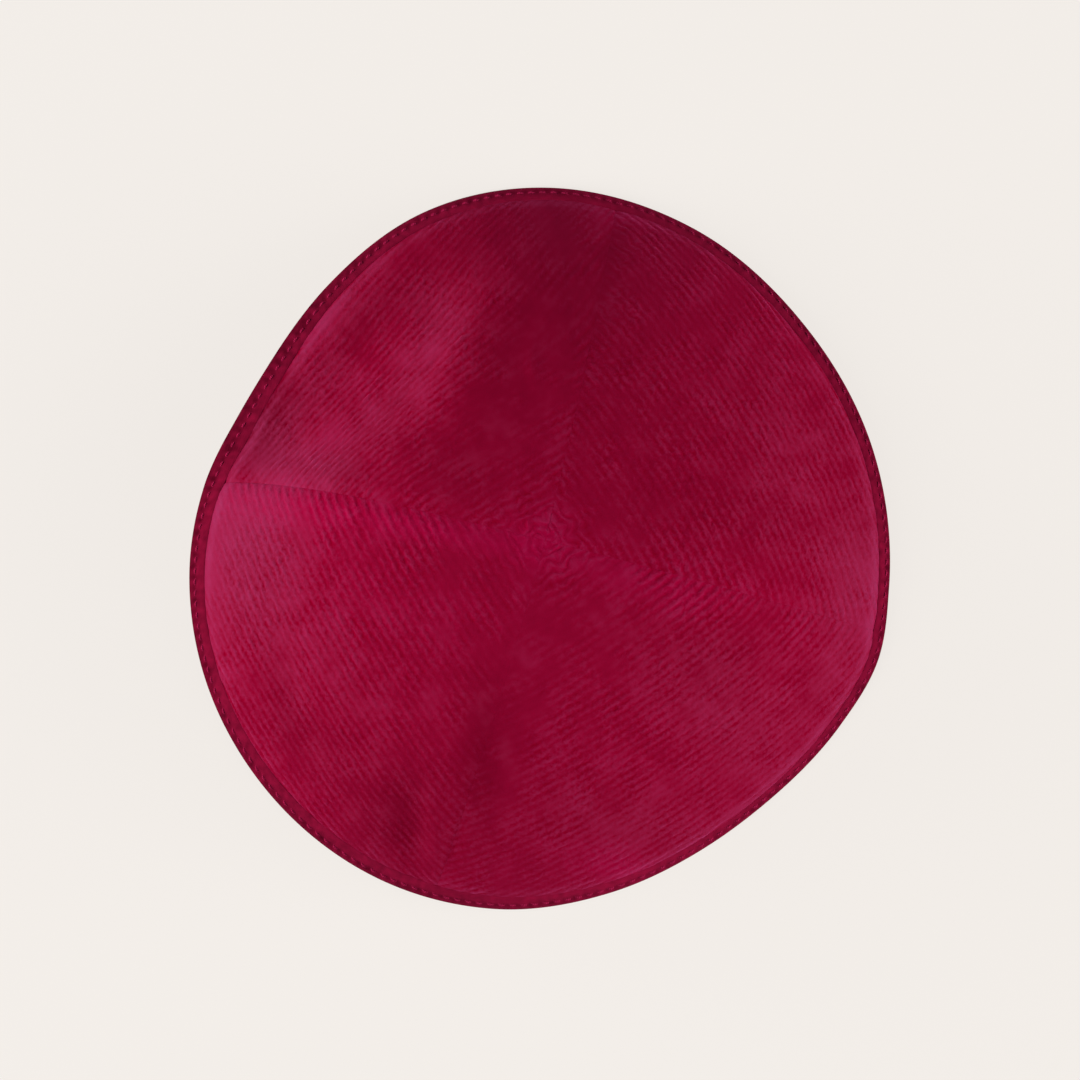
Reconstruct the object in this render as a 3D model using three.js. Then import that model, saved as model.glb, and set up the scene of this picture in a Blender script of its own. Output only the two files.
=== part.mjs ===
// Kippah: a round cloth skullcap sewn from four gore panels, with a folded binding round its edge.
// It lies on its rim, crown up, as it does on a table, and it is hollow underneath.
// Millimetres, +Z up, floor at Z = 0. The origin is under the middle of the rim's outline.

import * as THREE from "three";

const { degToRad, euclideanModulo, lerp, radToDeg, smoothstep } = THREE.MathUtils;

// Overall form
const CROWN = { x: 1.2, y: 2.0 }; // plan position of the point where the four seams meet
const DOME_HEIGHT = 50; // floor to the top of the cloth
const RIM_SLOPE = 60; // steepness of the plain dome where it meets the rim, degrees
const PANEL_SAG = 1.2; // how far the middle of a gore lies inside a true dome
const ROLL_WIDTH = 8; // the cloth bulges most this far above the rim

// Cloth and sewing
const WALL = 1.2; // ribbed cloth, pile included
const GAP = 0.3; // clearance between neighbouring pieces
const TIP_RADIUS = 0.6; // the gores stop this far from the crown
const SEAM_DIP = 0.6; // how far the cloth is drawn in along a seam
const SEAM_DIP_WIDTH = 2.4; // half width of that groove
const SEAM_DIP_START = 8; // distance from the crown where the groove has its full depth

// Edge binding: a strip folded over the panels' lower edge
const BAND_HEIGHT = 5.2; // outer leg, measured up the cloth
const BAND_INNER_HEIGHT = 4.6; // inner leg
const BAND_LEG = 1.0; // thickness of one leg
const BAND_FOLD = 1.8; // solid cloth below the panels' edge
const BAND_ROUND = 0.35; // softened corners of the strip

// How finely the cloth is faceted
const PANEL_COLUMNS = 20;
const PANEL_ROWS = 22;
const BAND_STEPS = 120;
const EDGE_CROWDING = 0.75; // share of cosine spacing, which crowds the columns at the seams
const FOLD_FADE_POWER = 12; // folds die away into the binding
const LIFT_POWER = 4; // how quickly a lifted rim dies away up the cloth
const AZIMUTH_STEP = 0.2; // degrees, for the cloth's direction at a point
const SHARE_STEP = 0.001; // share of the way down, for the same

// Outline of the rim in plan: its distance from the crown at each azimuth, counter-clockwise from +X.
// Two stretches, about 150 and 310 degrees, are pulled nearly straight. roll is how far the cloth
// bulges out above the binding, which makes the rim steeper there.
const RIM = [
  { azimuth: 15, radius: 81.5, roll: 0.9 },
  { azimuth: 40, radius: 80.7, roll: 0.9 },
  { azimuth: 65, radius: 82.7, roll: 0.8 },
  { azimuth: 90, radius: 84.4, roll: 0.7 },
  { azimuth: 110, radius: 83.7, roll: 0.5 },
  { azimuth: 130, radius: 80.2, roll: 0.2 },
  { azimuth: 146, radius: 78.3, roll: 0.0 },
  { azimuth: 158, radius: 79.2, roll: 0.0 },
  { azimuth: 171, radius: 82.6, roll: 0.1 },
  { azimuth: 187, radius: 85.8, roll: 0.3 },
  { azimuth: 210, radius: 88.7, roll: 0.4 },
  { azimuth: 240, radius: 90.4, roll: 0.5 },
  { azimuth: 262, radius: 89.2, roll: 0.7 },
  { azimuth: 280, radius: 86.0, roll: 0.9 },
  { azimuth: 297, radius: 83.1, roll: 1.0 },
  { azimuth: 311, radius: 82.2, roll: 1.0 },
  { azimuth: 328, radius: 83.5, roll: 0.9 },
  { azimuth: 340, radius: 84.8, roll: 0.9 },
  { azimuth: 352, radius: 83.2, roll: 0.9 },
];

// The rim stands a little off the floor where it is pulled straight
const RIM_LIFTS = [
  { azimuth: 148, half_width: 22, rise: 1.4 },
  { azimuth: 308, half_width: 20, rise: 1.0 },
];

// The four seams run from the crown to the rim, nearly straight in plan
const SEAMS = {
  right: { crown: -14.5, rim: -15.5 },
  top: { crown: 76, rim: 78 },
  left: { crown: 165, rim: 170.5 },
  bottom: { crown: 255, rim: 252.5 },
};

const PANELS = [
  { name: "panel_upper_right", from: "right", to: "top", colour: 0x8a0f35 },
  { name: "panel_upper_left", from: "top", to: "left", colour: 0x900f38 },
  { name: "panel_lower_left", from: "left", to: "bottom", colour: 0x9c1640 },
  { name: "panel_lower_right", from: "bottom", to: "right", colour: 0x94123b },
];
const PANEL_ROUGHNESS = 0.85;
const BAND_COLOUR = 0x6b0a28;
const BAND_ROUGHNESS = 0.75;

// Dents and folds in the cloth. x and y are the middle in plan, from the crown; along and across are
// half sizes in plan; turn is the azimuth of the long way. A negative depth is a ridge.
const FOLDS = [
  { name: "side dent", x: -42, y: 40, along: 30, across: 15, turn: 47, depth: 5.0 },
  { name: "dent tail by the left seam", x: -68, y: 22, along: 12, across: 7, turn: 15, depth: 1.6 },
  { name: "bottom pucker", x: -31.5, y: -70, along: 12, across: 3.5, turn: 97, depth: 1.4 },
  { name: "bottom pucker ridge", x: -25.5, y: -69, along: 11, across: 3, turn: 92, depth: -0.7 },
  { name: "bottom seam hollow", x: -14.5, y: -46, along: 18, across: 4, turn: 85, depth: 0.8 },
  { name: "top seam hollow", x: 11, y: 62, along: 16, across: 5, turn: 81, depth: 0.8 },
  { name: "lower left dent", x: -60, y: -38, along: 15, across: 6, turn: 104, depth: 0.8 },
];

const FULL_TURN = 360;
const RIM_ANGLE = degToRad(RIM_SLOPE);
const BAND_PROUD = (GAP + BAND_LEG) / Math.sin(RIM_ANGLE); // plan width of the outer leg at the rim

// The azimuth difference between two directions, from -180 to 180 degrees
function turnBetween(from, to) {
  return euclideanModulo(to - from + FULL_TURN / 2, FULL_TURN) - FULL_TURN / 2;
}

// A smooth closed curve through one column of the rim's stations
function rimValue(azimuth, column) {
  const count = RIM.length;
  const turned = euclideanModulo(azimuth, FULL_TURN);
  const after = RIM.findIndex((row) => row.azimuth > turned);
  const next = after < 0 ? 0 : after;
  const station = (offset) => RIM[(next + offset + count) % count];
  const [p0, p1, p2, p3] = [station(-2), station(-1), station(0), station(1)];
  const span01 = turnBetween(p0.azimuth, p1.azimuth);
  const span12 = turnBetween(p1.azimuth, p2.azimuth);
  const span23 = turnBetween(p2.azimuth, p3.azimuth);
  const slope1 = ((p2[column] - p0[column]) / (span01 + span12)) * span12;
  const slope2 = ((p3[column] - p1[column]) / (span12 + span23)) * span12;
  const t = turnBetween(p1.azimuth, azimuth) / span12;
  const t2 = t * t;
  const t3 = t2 * t;
  return (
    (2 * t3 - 3 * t2 + 1) * p1[column] +
    (t3 - 2 * t2 + t) * slope1 +
    (3 * t2 - 2 * t3) * p2[column] +
    (t3 - t2) * slope2
  );
}

// Plan distance from the crown to the cloth's outer face at the rim
function rimRadius(azimuth) {
  return rimValue(azimuth, "radius") - BAND_PROUD;
}

// Length of the cloth from the crown to the rim
function meridianLength(azimuth) {
  return (rimRadius(azimuth) * RIM_ANGLE) / Math.sin(RIM_ANGLE);
}

// How far the rim stands off the floor
function rimLift(azimuth) {
  return RIM_LIFTS.reduce((sum, lift) => {
    const share = Math.min(1, Math.abs(turnBetween(lift.azimuth, azimuth)) / lift.half_width);
    return sum + lift.rise * Math.cos((share * Math.PI) / 2) ** 2;
  }, 0);
}

// A gore's first azimuth and its width at a share of the way from the crown to the rim
function goreSpan({ from, to }, share) {
  const start = lerp(SEAMS[from].crown, SEAMS[from].rim, share);
  const end = lerp(SEAMS[to].crown, SEAMS[to].rim, share);
  return { start, width: euclideanModulo(end - start, FULL_TURN) };
}

// Depth of the sag between the seams and of the groove along them
function sewnDepth(azimuth, share, radius) {
  const acrossFrom = (start) => euclideanModulo(azimuth - start, FULL_TURN);
  const spans = PANELS.map((panel) => goreSpan(panel, share));
  const { start, width } = spans.find((span) => acrossFrom(span.start) <= span.width);
  const across = acrossFrom(start);
  const sag = PANEL_SAG * Math.sin((Math.PI * across) / width) * Math.sin(Math.PI * share);
  const toSeam = radius * degToRad(Math.min(across, width - across));
  const groove = SEAM_DIP * Math.exp(-((toSeam / SEAM_DIP_WIDTH) ** 2));
  return sag + groove * smoothstep(radius, 0, SEAM_DIP_START);
}

// Depth of the dents and folds at a point in plan
function foldDepth(x, y) {
  return FOLDS.reduce((sum, fold) => {
    const turn = degToRad(fold.turn);
    const dx = x - fold.x;
    const dy = y - fold.y;
    const along = (dx * Math.cos(turn) + dy * Math.sin(turn)) / fold.along;
    const across = (dy * Math.cos(turn) - dx * Math.sin(turn)) / fold.across;
    return sum + fold.depth * Math.exp(-along * along - across * across);
  }, 0);
}

// The outer face of the cloth: share runs from 0 at the crown to 1 at the rim
function clothPoint(azimuth, share) {
  const slope = RIM_ANGLE * share;
  const radius = (rimRadius(azimuth) * Math.sin(slope)) / Math.sin(RIM_ANGLE);
  const height = (DOME_HEIGHT * (Math.cos(slope) - Math.cos(RIM_ANGLE))) / (1 - Math.cos(RIM_ANGLE));
  const east = Math.cos(degToRad(azimuth));
  const north = Math.sin(degToRad(azimuth));
  const folded = foldDepth(radius * east, radius * north) + sewnDepth(azimuth, share, radius);
  const aboveRim = ((1 - share) * meridianLength(azimuth)) / ROLL_WIDTH;
  const bulge = rimValue(azimuth, "roll") * aboveRim * Math.exp(1 - aboveRim);
  const inward = folded * (1 - share ** FOLD_FADE_POWER) - bulge;
  const reach = radius - inward * Math.sin(slope);
  const lift = rimLift(azimuth) * share ** LIFT_POWER;
  return new THREE.Vector3(
    CROWN.x + reach * east,
    CROWN.y + reach * north,
    height + lift - inward * Math.cos(slope),
  );
}

// The cloth's outer face moved inwards by a depth, square to the cloth
function skin(azimuth, share, depth) {
  const down = clothPoint(azimuth, share + SHARE_STEP).sub(clothPoint(azimuth, share - SHARE_STEP));
  const around = clothPoint(azimuth + AZIMUTH_STEP, share).sub(clothPoint(azimuth - AZIMUTH_STEP, share));
  const outward = down.cross(around).normalize();
  return clothPoint(azimuth, share).addScaledVector(outward, -depth);
}

// A closed solid from a list of shared points and the quads between them
function solid(points, quads) {
  const geometry = new THREE.BufferGeometry();
  const positions = points.flatMap((point) => point.toArray());
  const corners = quads.flatMap(([a, b, c, d]) => [a, b, c, a, c, d]);
  geometry.setAttribute("position", new THREE.Float32BufferAttribute(positions, 3));
  geometry.setIndex(corners);
  geometry.computeVertexNormals();
  return geometry;
}

// A wall of cloth: rows run down from the crown, columns run counter-clockwise round it
function clothWall(outer, inner) {
  const bottom = outer.length - 1;
  const last = outer[0].length - 1;
  const out = (row, column) => row * (last + 1) + column;
  const inn = (row, column) => out(row + bottom + 1, column);
  const quads = [];
  for (let row = 0; row < bottom; row += 1) {
    const next = row + 1;
    for (let column = 0; column < last; column += 1) {
      const right = column + 1;
      quads.push([out(row, column), out(next, column), out(next, right), out(row, right)]);
      quads.push([inn(row, column), inn(row, right), inn(next, right), inn(next, column)]);
    }
    quads.push([out(row, 0), inn(row, 0), inn(next, 0), out(next, 0)]);
    quads.push([out(row, last), out(next, last), inn(next, last), inn(row, last)]);
  }
  for (let column = 0; column < last; column += 1) {
    const right = column + 1;
    quads.push([out(0, column), out(0, right), inn(0, right), inn(0, column)]);
    quads.push([out(bottom, column), inn(bottom, column), inn(bottom, right), out(bottom, right)]);
  }
  return solid([...outer.flat(), ...inner.flat()], quads);
}

// A closed hoop from one section at each step round the rim
function hoop(sections) {
  const steps = sections.length;
  const corners = sections[0].length;
  const at = (step, corner) => (step % steps) * corners + (corner % corners);
  const quads = sections.flatMap((section, step) =>
    section.map((_, corner) => [
      at(step, corner),
      at(step + 1, corner),
      at(step + 1, corner + 1),
      at(step, corner + 1),
    ]),
  );
  return solid(sections.flat(), quads);
}

// Position of a column across a gore, from 0 to 1, crowded towards the seams
function columnShare(column) {
  const even = column / PANEL_COLUMNS;
  const crowded = (1 - Math.cos(Math.PI * even)) / 2;
  return lerp(even, crowded, EDGE_CROWDING);
}

// Azimuth of a column of a gore, with half the gap kept off each seam
function goreAzimuth(panel, share, column) {
  const { start, width } = goreSpan(panel, share);
  const radius = (rimRadius(start + width / 2) * Math.sin(RIM_ANGLE * share)) / Math.sin(RIM_ANGLE);
  const margin = radToDeg(GAP / 2 / radius);
  return start + lerp(margin, width - margin, columnShare(column));
}

// One gore panel, from its tip at the crown to its edge inside the binding
function panelGeometry(panel) {
  const gorePoint = (row, column, depth) => {
    const rowShare = row / PANEL_ROWS;
    const { start, width } = goreSpan(panel, rowShare);
    const length = meridianLength(start + width * columnShare(column));
    const share = lerp(TIP_RADIUS / length, 1 - (BAND_FOLD + GAP) / length, rowShare);
    return skin(goreAzimuth(panel, share, column), share, depth);
  };
  const layer = (depth) =>
    Array.from({ length: PANEL_ROWS + 1 }, (_, row) =>
      Array.from({ length: PANEL_COLUMNS + 1 }, (__, column) => gorePoint(row, column, depth)),
    );
  return clothWall(layer(0), layer(WALL));
}

// The binding's section: up the outer leg, down into the fold, up the inner leg and back under it.
// Its underside is flat, where it lies on the floor.
function bandSection(azimuth) {
  const length = meridianLength(azimuth);
  const outerFace = -(GAP + BAND_LEG);
  const innerFace = WALL + GAP + BAND_LEG;
  const upCloth = (up, depth) => skin(azimuth, 1 - up / length, depth);
  const overFloor = (height, depth) => {
    const low = upCloth(0, depth);
    const run = upCloth(1, depth).sub(low);
    return low.addScaledVector(run, (rimLift(azimuth) + height - low.z) / run.z);
  };
  return [
    overFloor(0, outerFace + BAND_ROUND),
    overFloor(BAND_ROUND, outerFace),
    upCloth(BAND_HEIGHT - BAND_ROUND, outerFace),
    upCloth(BAND_HEIGHT, outerFace + BAND_ROUND),
    upCloth(BAND_HEIGHT, -GAP),
    upCloth(BAND_FOLD, -GAP),
    upCloth(BAND_FOLD, WALL + GAP),
    upCloth(BAND_INNER_HEIGHT, WALL + GAP),
    upCloth(BAND_INNER_HEIGHT, innerFace - BAND_ROUND),
    upCloth(BAND_INNER_HEIGHT - BAND_ROUND, innerFace),
    overFloor(BAND_ROUND, innerFace),
    overFloor(0, innerFace - BAND_ROUND),
  ];
}

function bandGeometry() {
  const azimuths = Array.from({ length: BAND_STEPS }, (_, step) => (FULL_TURN * step) / BAND_STEPS);
  return hoop(azimuths.map(bandSection));
}

function clothMesh(name, geometry, color, roughness) {
  const material = new THREE.MeshStandardMaterial({ color, roughness, metalness: 0 });
  const mesh = new THREE.Mesh(geometry, material);
  mesh.name = name;
  return mesh;
}

const kippah = new THREE.Group();
for (const panel of PANELS) {
  kippah.add(clothMesh(panel.name, panelGeometry(panel), panel.colour, PANEL_ROUGHNESS));
}
kippah.add(clothMesh("edge_binding", bandGeometry(), BAND_COLOUR, BAND_ROUGHNESS));

export default kippah;
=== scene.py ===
"""Looks of a kippah: four gores of ribbed pile cloth and a folded, topstitched binding.

The cap lies on its rim on a pale floor, crown up, and is hollow underneath. Its shapes repeat the
cap's construction formulas in metres. Azimuths are degrees counter-clockwise from +X seen from above,
measured at the crown. A share runs from 0 at the crown to 1 at the rim.
"""

import logging
import math
from dataclasses import dataclass, field
from enum import Enum
from typing import Any

import bpy
import numpy as np
import numpy.typing as npt
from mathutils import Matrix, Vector, noise


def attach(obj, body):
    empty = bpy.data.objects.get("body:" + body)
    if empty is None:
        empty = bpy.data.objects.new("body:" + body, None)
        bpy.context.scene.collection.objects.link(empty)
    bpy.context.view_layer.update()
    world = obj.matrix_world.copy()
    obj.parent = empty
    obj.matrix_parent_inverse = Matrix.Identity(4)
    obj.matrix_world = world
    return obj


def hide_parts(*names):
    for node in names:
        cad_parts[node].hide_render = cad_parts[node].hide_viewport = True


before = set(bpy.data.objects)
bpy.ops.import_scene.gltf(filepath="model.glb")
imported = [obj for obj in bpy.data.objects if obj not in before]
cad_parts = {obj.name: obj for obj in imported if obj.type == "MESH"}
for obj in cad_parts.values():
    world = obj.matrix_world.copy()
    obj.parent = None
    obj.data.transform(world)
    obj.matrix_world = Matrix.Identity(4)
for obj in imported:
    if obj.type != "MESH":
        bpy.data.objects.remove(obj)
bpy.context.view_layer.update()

logging.basicConfig(level=logging.INFO, format="%(message)s")
log = logging.getLogger("kippah")

Array = npt.NDArray[np.float64]

MM = 0.001
FULL_TURN = 360.0
CRISP_ANGLE = math.radians(52)
NOISE_STEP = 7.31
RIM_SLOPE = math.radians(60)
BINDING_PROUD = 1.3 * MM


def turn_between(start: Array | float, end: Array | float) -> Array:
    """The azimuth from start to end, from -180 to 180 degrees."""
    return np.mod(np.asarray(end) - start + FULL_TURN / 2, FULL_TURN) - FULL_TURN / 2


def ease(values: Array, low: float, high: float) -> Array:
    """0 below low, 1 above high, and a smooth S between them."""
    share = np.clip((values - low) / (high - low), 0.0, 1.0)
    return share * share * (3 - 2 * share)


def blend_between(low: Any, high: Any, share: Any) -> Any:
    """The value that lies a share of the way from low to high."""
    return low + (high - low) * share


def wander(along: Array, across: Array, scale: float, seed: int) -> Array:
    """Smooth noise over the cloth.

    Args:
        along: Distance along the ribs at each point.
        across: Distance across the ribs at each point.
        scale: Size of the noise's features.
        seed: Which noise it is.

    Returns:
        A value from about -1 to 1 for each point.
    """
    along, across = np.broadcast_arrays(along, across)
    places = zip((along / scale).ravel().tolist(), (across / scale).ravel().tolist())
    values = [noise.noise((x, y, seed * NOISE_STEP)) for x, y in places]
    return np.array(values).reshape(along.shape)


def blotched(along: Array, across: Array, sizes: tuple[float, ...], seed: int) -> Array:
    """Smooth noise of several sizes at once.

    Args:
        along: Distance one way at each point.
        across: Distance the other way at each point.
        sizes: The sizes of the noises' features.
        seed: Which noise the first is; the others follow it.

    Returns:
        The sum of the noises at each point.
    """
    layers = [wander(along, across, size, seed + place) for place, size in enumerate(sizes)]
    return np.sum(layers, axis=0)


@dataclass(frozen=True)
class SeamLine:
    """A seam's azimuth at the crown and at the rim, and how late it bends between them.

    tuck is the depth of the thin line where the cloth turns in, and dip that of the soft groove.
    """

    crown: float
    rim: float
    bend: float
    tuck: float
    dip: float


class Seam(Enum):
    """The four seams that join the gores."""

    RIGHT = SeamLine(-14.5, -15.5, 1.0, 0.08 * MM, 0.6 * MM)
    TOP = SeamLine(76.0, 78.0, 1.0, 0.03 * MM, 0.4 * MM)
    LEFT = SeamLine(166.4, 170.5, 2.6, 0.2 * MM, 0.6 * MM)
    BOTTOM = SeamLine(255.0, 252.5, 1.0, 0.02 * MM, 0.2 * MM)

    def azimuth(self, share: Array) -> Array:
        """Where the seam lies at a share of the way to the rim."""
        return blend_between(self.value.crown, self.value.rim, np.maximum(share, 0) ** self.value.bend)


@dataclass(frozen=True)
class Patch:
    """An oval place on the cap that fades out round it. x and y are its middle in plan, from the crown.

    along and across are half sizes in plan, and turn is the azimuth of its long way.
    """

    x: float
    y: float
    along: float
    across: float
    turn: float

    def share_at(self, x: Array, y: Array) -> Array:
        """How strong the patch is.

        Args:
            x: Places in plan, from the crown.
            y: Places in plan, from the crown.

        Returns:
            1 in its middle, falling smoothly to 0 round it.
        """
        cosine, sine = math.cos(math.radians(self.turn)), math.sin(math.radians(self.turn))
        dx, dy = x - self.x, y - self.y
        along = (dx * cosine + dy * sine) / self.along
        across = (dy * cosine - dx * sine) / self.across
        return np.exp(-along * along - across * across)


@dataclass(frozen=True)
class NapAndLightMark(Patch):
    """A patch where the pile was brushed another way, with light, shade and sheen painted on it.

    light paints light on the cloth, or painted shade where it is negative, bloom a pinker painted
    sheen, flat says how far the ribs are pressed down, and ruffled how far they are broken up into
    loose tufts.
    """

    light: float = 0.0
    flat: float = 0.0
    bloom: float = 0.0
    ruffled: float = 0.0


@dataclass(frozen=True)
class Gore:
    """One gore: the seams beside it, counter-clockwise, and how its ribs lie.

    rib_bow says how far the ribs near the rim still bow round the crown: 1 is a straight rib, 0 one
    that follows the rim. crown_turn and rim_turn are the degrees by which the ribs are askew there.
    seed says which noise makes its ribs uneven.
    """

    name: str
    start: Seam
    end: Seam
    seed: int
    rib_bow: float
    crown_turn: float
    rim_turn: float
    marks: tuple[NapAndLightMark, ...]

    def span(self, share: Array) -> tuple[Array, Array]:
        """Its first azimuth and its width at a share of the way to the rim."""
        start = self.start.azimuth(share)
        return start, np.mod(self.end.azimuth(share) - start, FULL_TURN)


# Patches that run on over a seam, or round the crown, so that the gores beside it share them
CROWN_MARKS = (
    NapAndLightMark(-1 * MM, 0 * MM, 10 * MM, 8 * MM, 170, light=0.27, flat=-0.3),
    NapAndLightMark(0 * MM, 1 * MM, 15 * MM, 12 * MM, 165, ruffled=1.0),
    NapAndLightMark(0 * MM, 0 * MM, 9 * MM, 8 * MM, 165, ruffled=1.6),
)
RIGHT_MARKS = (
    NapAndLightMark(77 * MM, -13 * MM, 21 * MM, 12 * MM, 80, bloom=0.4),
    NapAndLightMark(79 * MM, -15 * MM, 10 * MM, 5 * MM, 85, light=0.2),
    NapAndLightMark(32 * MM, -9 * MM, 15 * MM, 7 * MM, 165, flat=-0.5),
)
TOP_MARKS = (
    NapAndLightMark(3 * MM, 56 * MM, 32 * MM, 12 * MM, 84, light=-0.1, flat=0.7),
    NapAndLightMark(18 * MM, 78 * MM, 8 * MM, 5 * MM, 165, light=0.2),
    NapAndLightMark(19 * MM, 64 * MM, 18 * MM, 11 * MM, 90, ruffled=0.8),
    NapAndLightMark(2 * MM, 38 * MM, 14 * MM, 2.5 * MM, 88, light=0.1),
)
BOTTOM_MARKS = (
    NapAndLightMark(-12 * MM, -48 * MM, 24 * MM, 9 * MM, 84, flat=0.75),
    NapAndLightMark(-13 * MM, -44 * MM, 14 * MM, 6 * MM, 84, light=-0.25),
    NapAndLightMark(-16 * MM, -58 * MM, 13 * MM, 5 * MM, 86, light=-0.25),
    NapAndLightMark(2 * MM, -22 * MM, 17 * MM, 11 * MM, 30, flat=0.8),
)

UPPER_RIGHT = Gore(
    "upper_right",
    Seam.RIGHT,
    Seam.TOP,
    seed=11,
    rib_bow=0.8,
    crown_turn=2,
    rim_turn=0,
    marks=(
        *CROWN_MARKS,
        *RIGHT_MARKS,
        *TOP_MARKS,
        NapAndLightMark(28 * MM, 52 * MM, 24 * MM, 14 * MM, 120, flat=0.25),
        NapAndLightMark(14 * MM, 24 * MM, 10 * MM, 7 * MM, 60, flat=0.4),
        NapAndLightMark(20 * MM, 7 * MM, 12 * MM, 8 * MM, 30, flat=0.55),
        NapAndLightMark(34 * MM, 9 * MM, 22 * MM, 9 * MM, 170, light=-0.12),
        NapAndLightMark(58 * MM, 20 * MM, 26 * MM, 16 * MM, 110, bloom=0.15, ruffled=0.4),
        NapAndLightMark(72 * MM, 18 * MM, 18 * MM, 6 * MM, 105, light=-0.18),
        NapAndLightMark(56 * MM, 1 * MM, 18 * MM, 9 * MM, 170, light=-0.1),
        NapAndLightMark(26 * MM, 27 * MM, 14 * MM, 10 * MM, 150, light=-0.08),
    ),
)
UPPER_LEFT = Gore(
    "upper_left",
    Seam.TOP,
    Seam.LEFT,
    seed=10,
    rib_bow=1.0,
    crown_turn=0,
    rim_turn=13,
    marks=(
        *CROWN_MARKS,
        *TOP_MARKS,
        NapAndLightMark(-22 * MM, 66 * MM, 15 * MM, 9 * MM, 20, flat=0.45),
        NapAndLightMark(-12 * MM, 27 * MM, 20 * MM, 12 * MM, 60, light=-0.1, flat=0.9),
        NapAndLightMark(-14 * MM, 40 * MM, 22 * MM, 8 * MM, 75, light=-0.18),
        NapAndLightMark(-28 * MM, 20 * MM, 16 * MM, 6 * MM, 150, light=-0.18),
        NapAndLightMark(-44 * MM, 53 * MM, 18 * MM, 5 * MM, 45, light=-0.25),
        NapAndLightMark(-67 * MM, 27 * MM, 11 * MM, 6 * MM, 62, light=-0.62),
        NapAndLightMark(-20 * MM, 68 * MM, 18 * MM, 7 * MM, 20, light=-0.14),
        NapAndLightMark(-35 * MM, 38 * MM, 24 * MM, 7 * MM, 48, light=0.14),
        NapAndLightMark(-62 * MM, 13 * MM, 7 * MM, 4 * MM, 165, light=0.22),
        NapAndLightMark(-48 * MM, 17 * MM, 6 * MM, 4 * MM, 160, light=-0.2),
        NapAndLightMark(-51 * MM, 53 * MM, 16 * MM, 3 * MM, 47, light=0.3, bloom=0.15),
        NapAndLightMark(-46 * MM, 57 * MM, 11 * MM, 6 * MM, 47, light=-0.2, flat=0.3),
        NapAndLightMark(-36 * MM, 36 * MM, 8 * MM, 6 * MM, 45, light=-0.15),
        NapAndLightMark(-54 * MM, 24 * MM, 7 * MM, 5 * MM, 40, light=0.15),
        NapAndLightMark(-64 * MM, 37 * MM, 9 * MM, 3 * MM, 64, light=-0.35, bloom=-0.3),
        NapAndLightMark(-62 * MM, 15 * MM, 16 * MM, 12 * MM, 150, bloom=0.42),
        NapAndLightMark(-27 * MM, 50 * MM, 15 * MM, 9 * MM, 60, bloom=0.3),
        NapAndLightMark(-44 * MM, 28 * MM, 18 * MM, 9 * MM, 40, bloom=0.22),
        NapAndLightMark(-58 * MM, 38 * MM, 14 * MM, 6 * MM, 50, bloom=0.2),
    ),
)
LOWER_LEFT = Gore(
    "lower_left",
    Seam.LEFT,
    Seam.BOTTOM,
    seed=10,
    rib_bow=0.9,
    crown_turn=1,
    rim_turn=0,
    marks=(
        *CROWN_MARKS,
        *BOTTOM_MARKS,
        NapAndLightMark(-20 * MM, -8 * MM, 12 * MM, 9 * MM, 60, flat=0.55),
        NapAndLightMark(-26 * MM, -32 * MM, 18 * MM, 7 * MM, 80, flat=0.3),
        NapAndLightMark(-35 * MM, -62 * MM, 9 * MM, 6 * MM, 60, flat=0.5),
        NapAndLightMark(-66 * MM, 9 * MM, 16 * MM, 6 * MM, 170, light=0.38),
        NapAndLightMark(-74 * MM, 2 * MM, 27 * MM, 17 * MM, 84, bloom=0.5),
        NapAndLightMark(-52 * MM, -30 * MM, 26 * MM, 15 * MM, 110, bloom=0.12),
        NapAndLightMark(-38 * MM, -9 * MM, 38 * MM, 15 * MM, 172, light=0.07),
        NapAndLightMark(-28 * MM, 3 * MM, 22 * MM, 3.5 * MM, 169, light=0.22),
        NapAndLightMark(-24 * MM, -6 * MM, 13 * MM, 4 * MM, 168, light=-0.1),
        NapAndLightMark(-28 * MM, -71 * MM, 12 * MM, 3.5 * MM, 96, light=-0.14),
        NapAndLightMark(-30 * MM, -57 * MM, 8 * MM, 6 * MM, 90, light=-0.15),
        NapAndLightMark(-68 * MM, -11 * MM, 16 * MM, 8 * MM, 90, light=-0.1, flat=-0.5, ruffled=0.7),
        NapAndLightMark(-80 * MM, -4 * MM, 16 * MM, 5 * MM, 88, light=0.12, flat=0.7),
        NapAndLightMark(-72 * MM, -42 * MM, 8 * MM, 5 * MM, 115, light=-0.15),
        NapAndLightMark(-62 * MM, -40 * MM, 15 * MM, 5 * MM, 106, light=-0.18),
        NapAndLightMark(-37 * MM, -67 * MM, 12 * MM, 10 * MM, 100, light=-0.36),
        NapAndLightMark(-54 * MM, -49 * MM, 12 * MM, 8 * MM, 130, light=-0.18),
    ),
)
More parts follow.
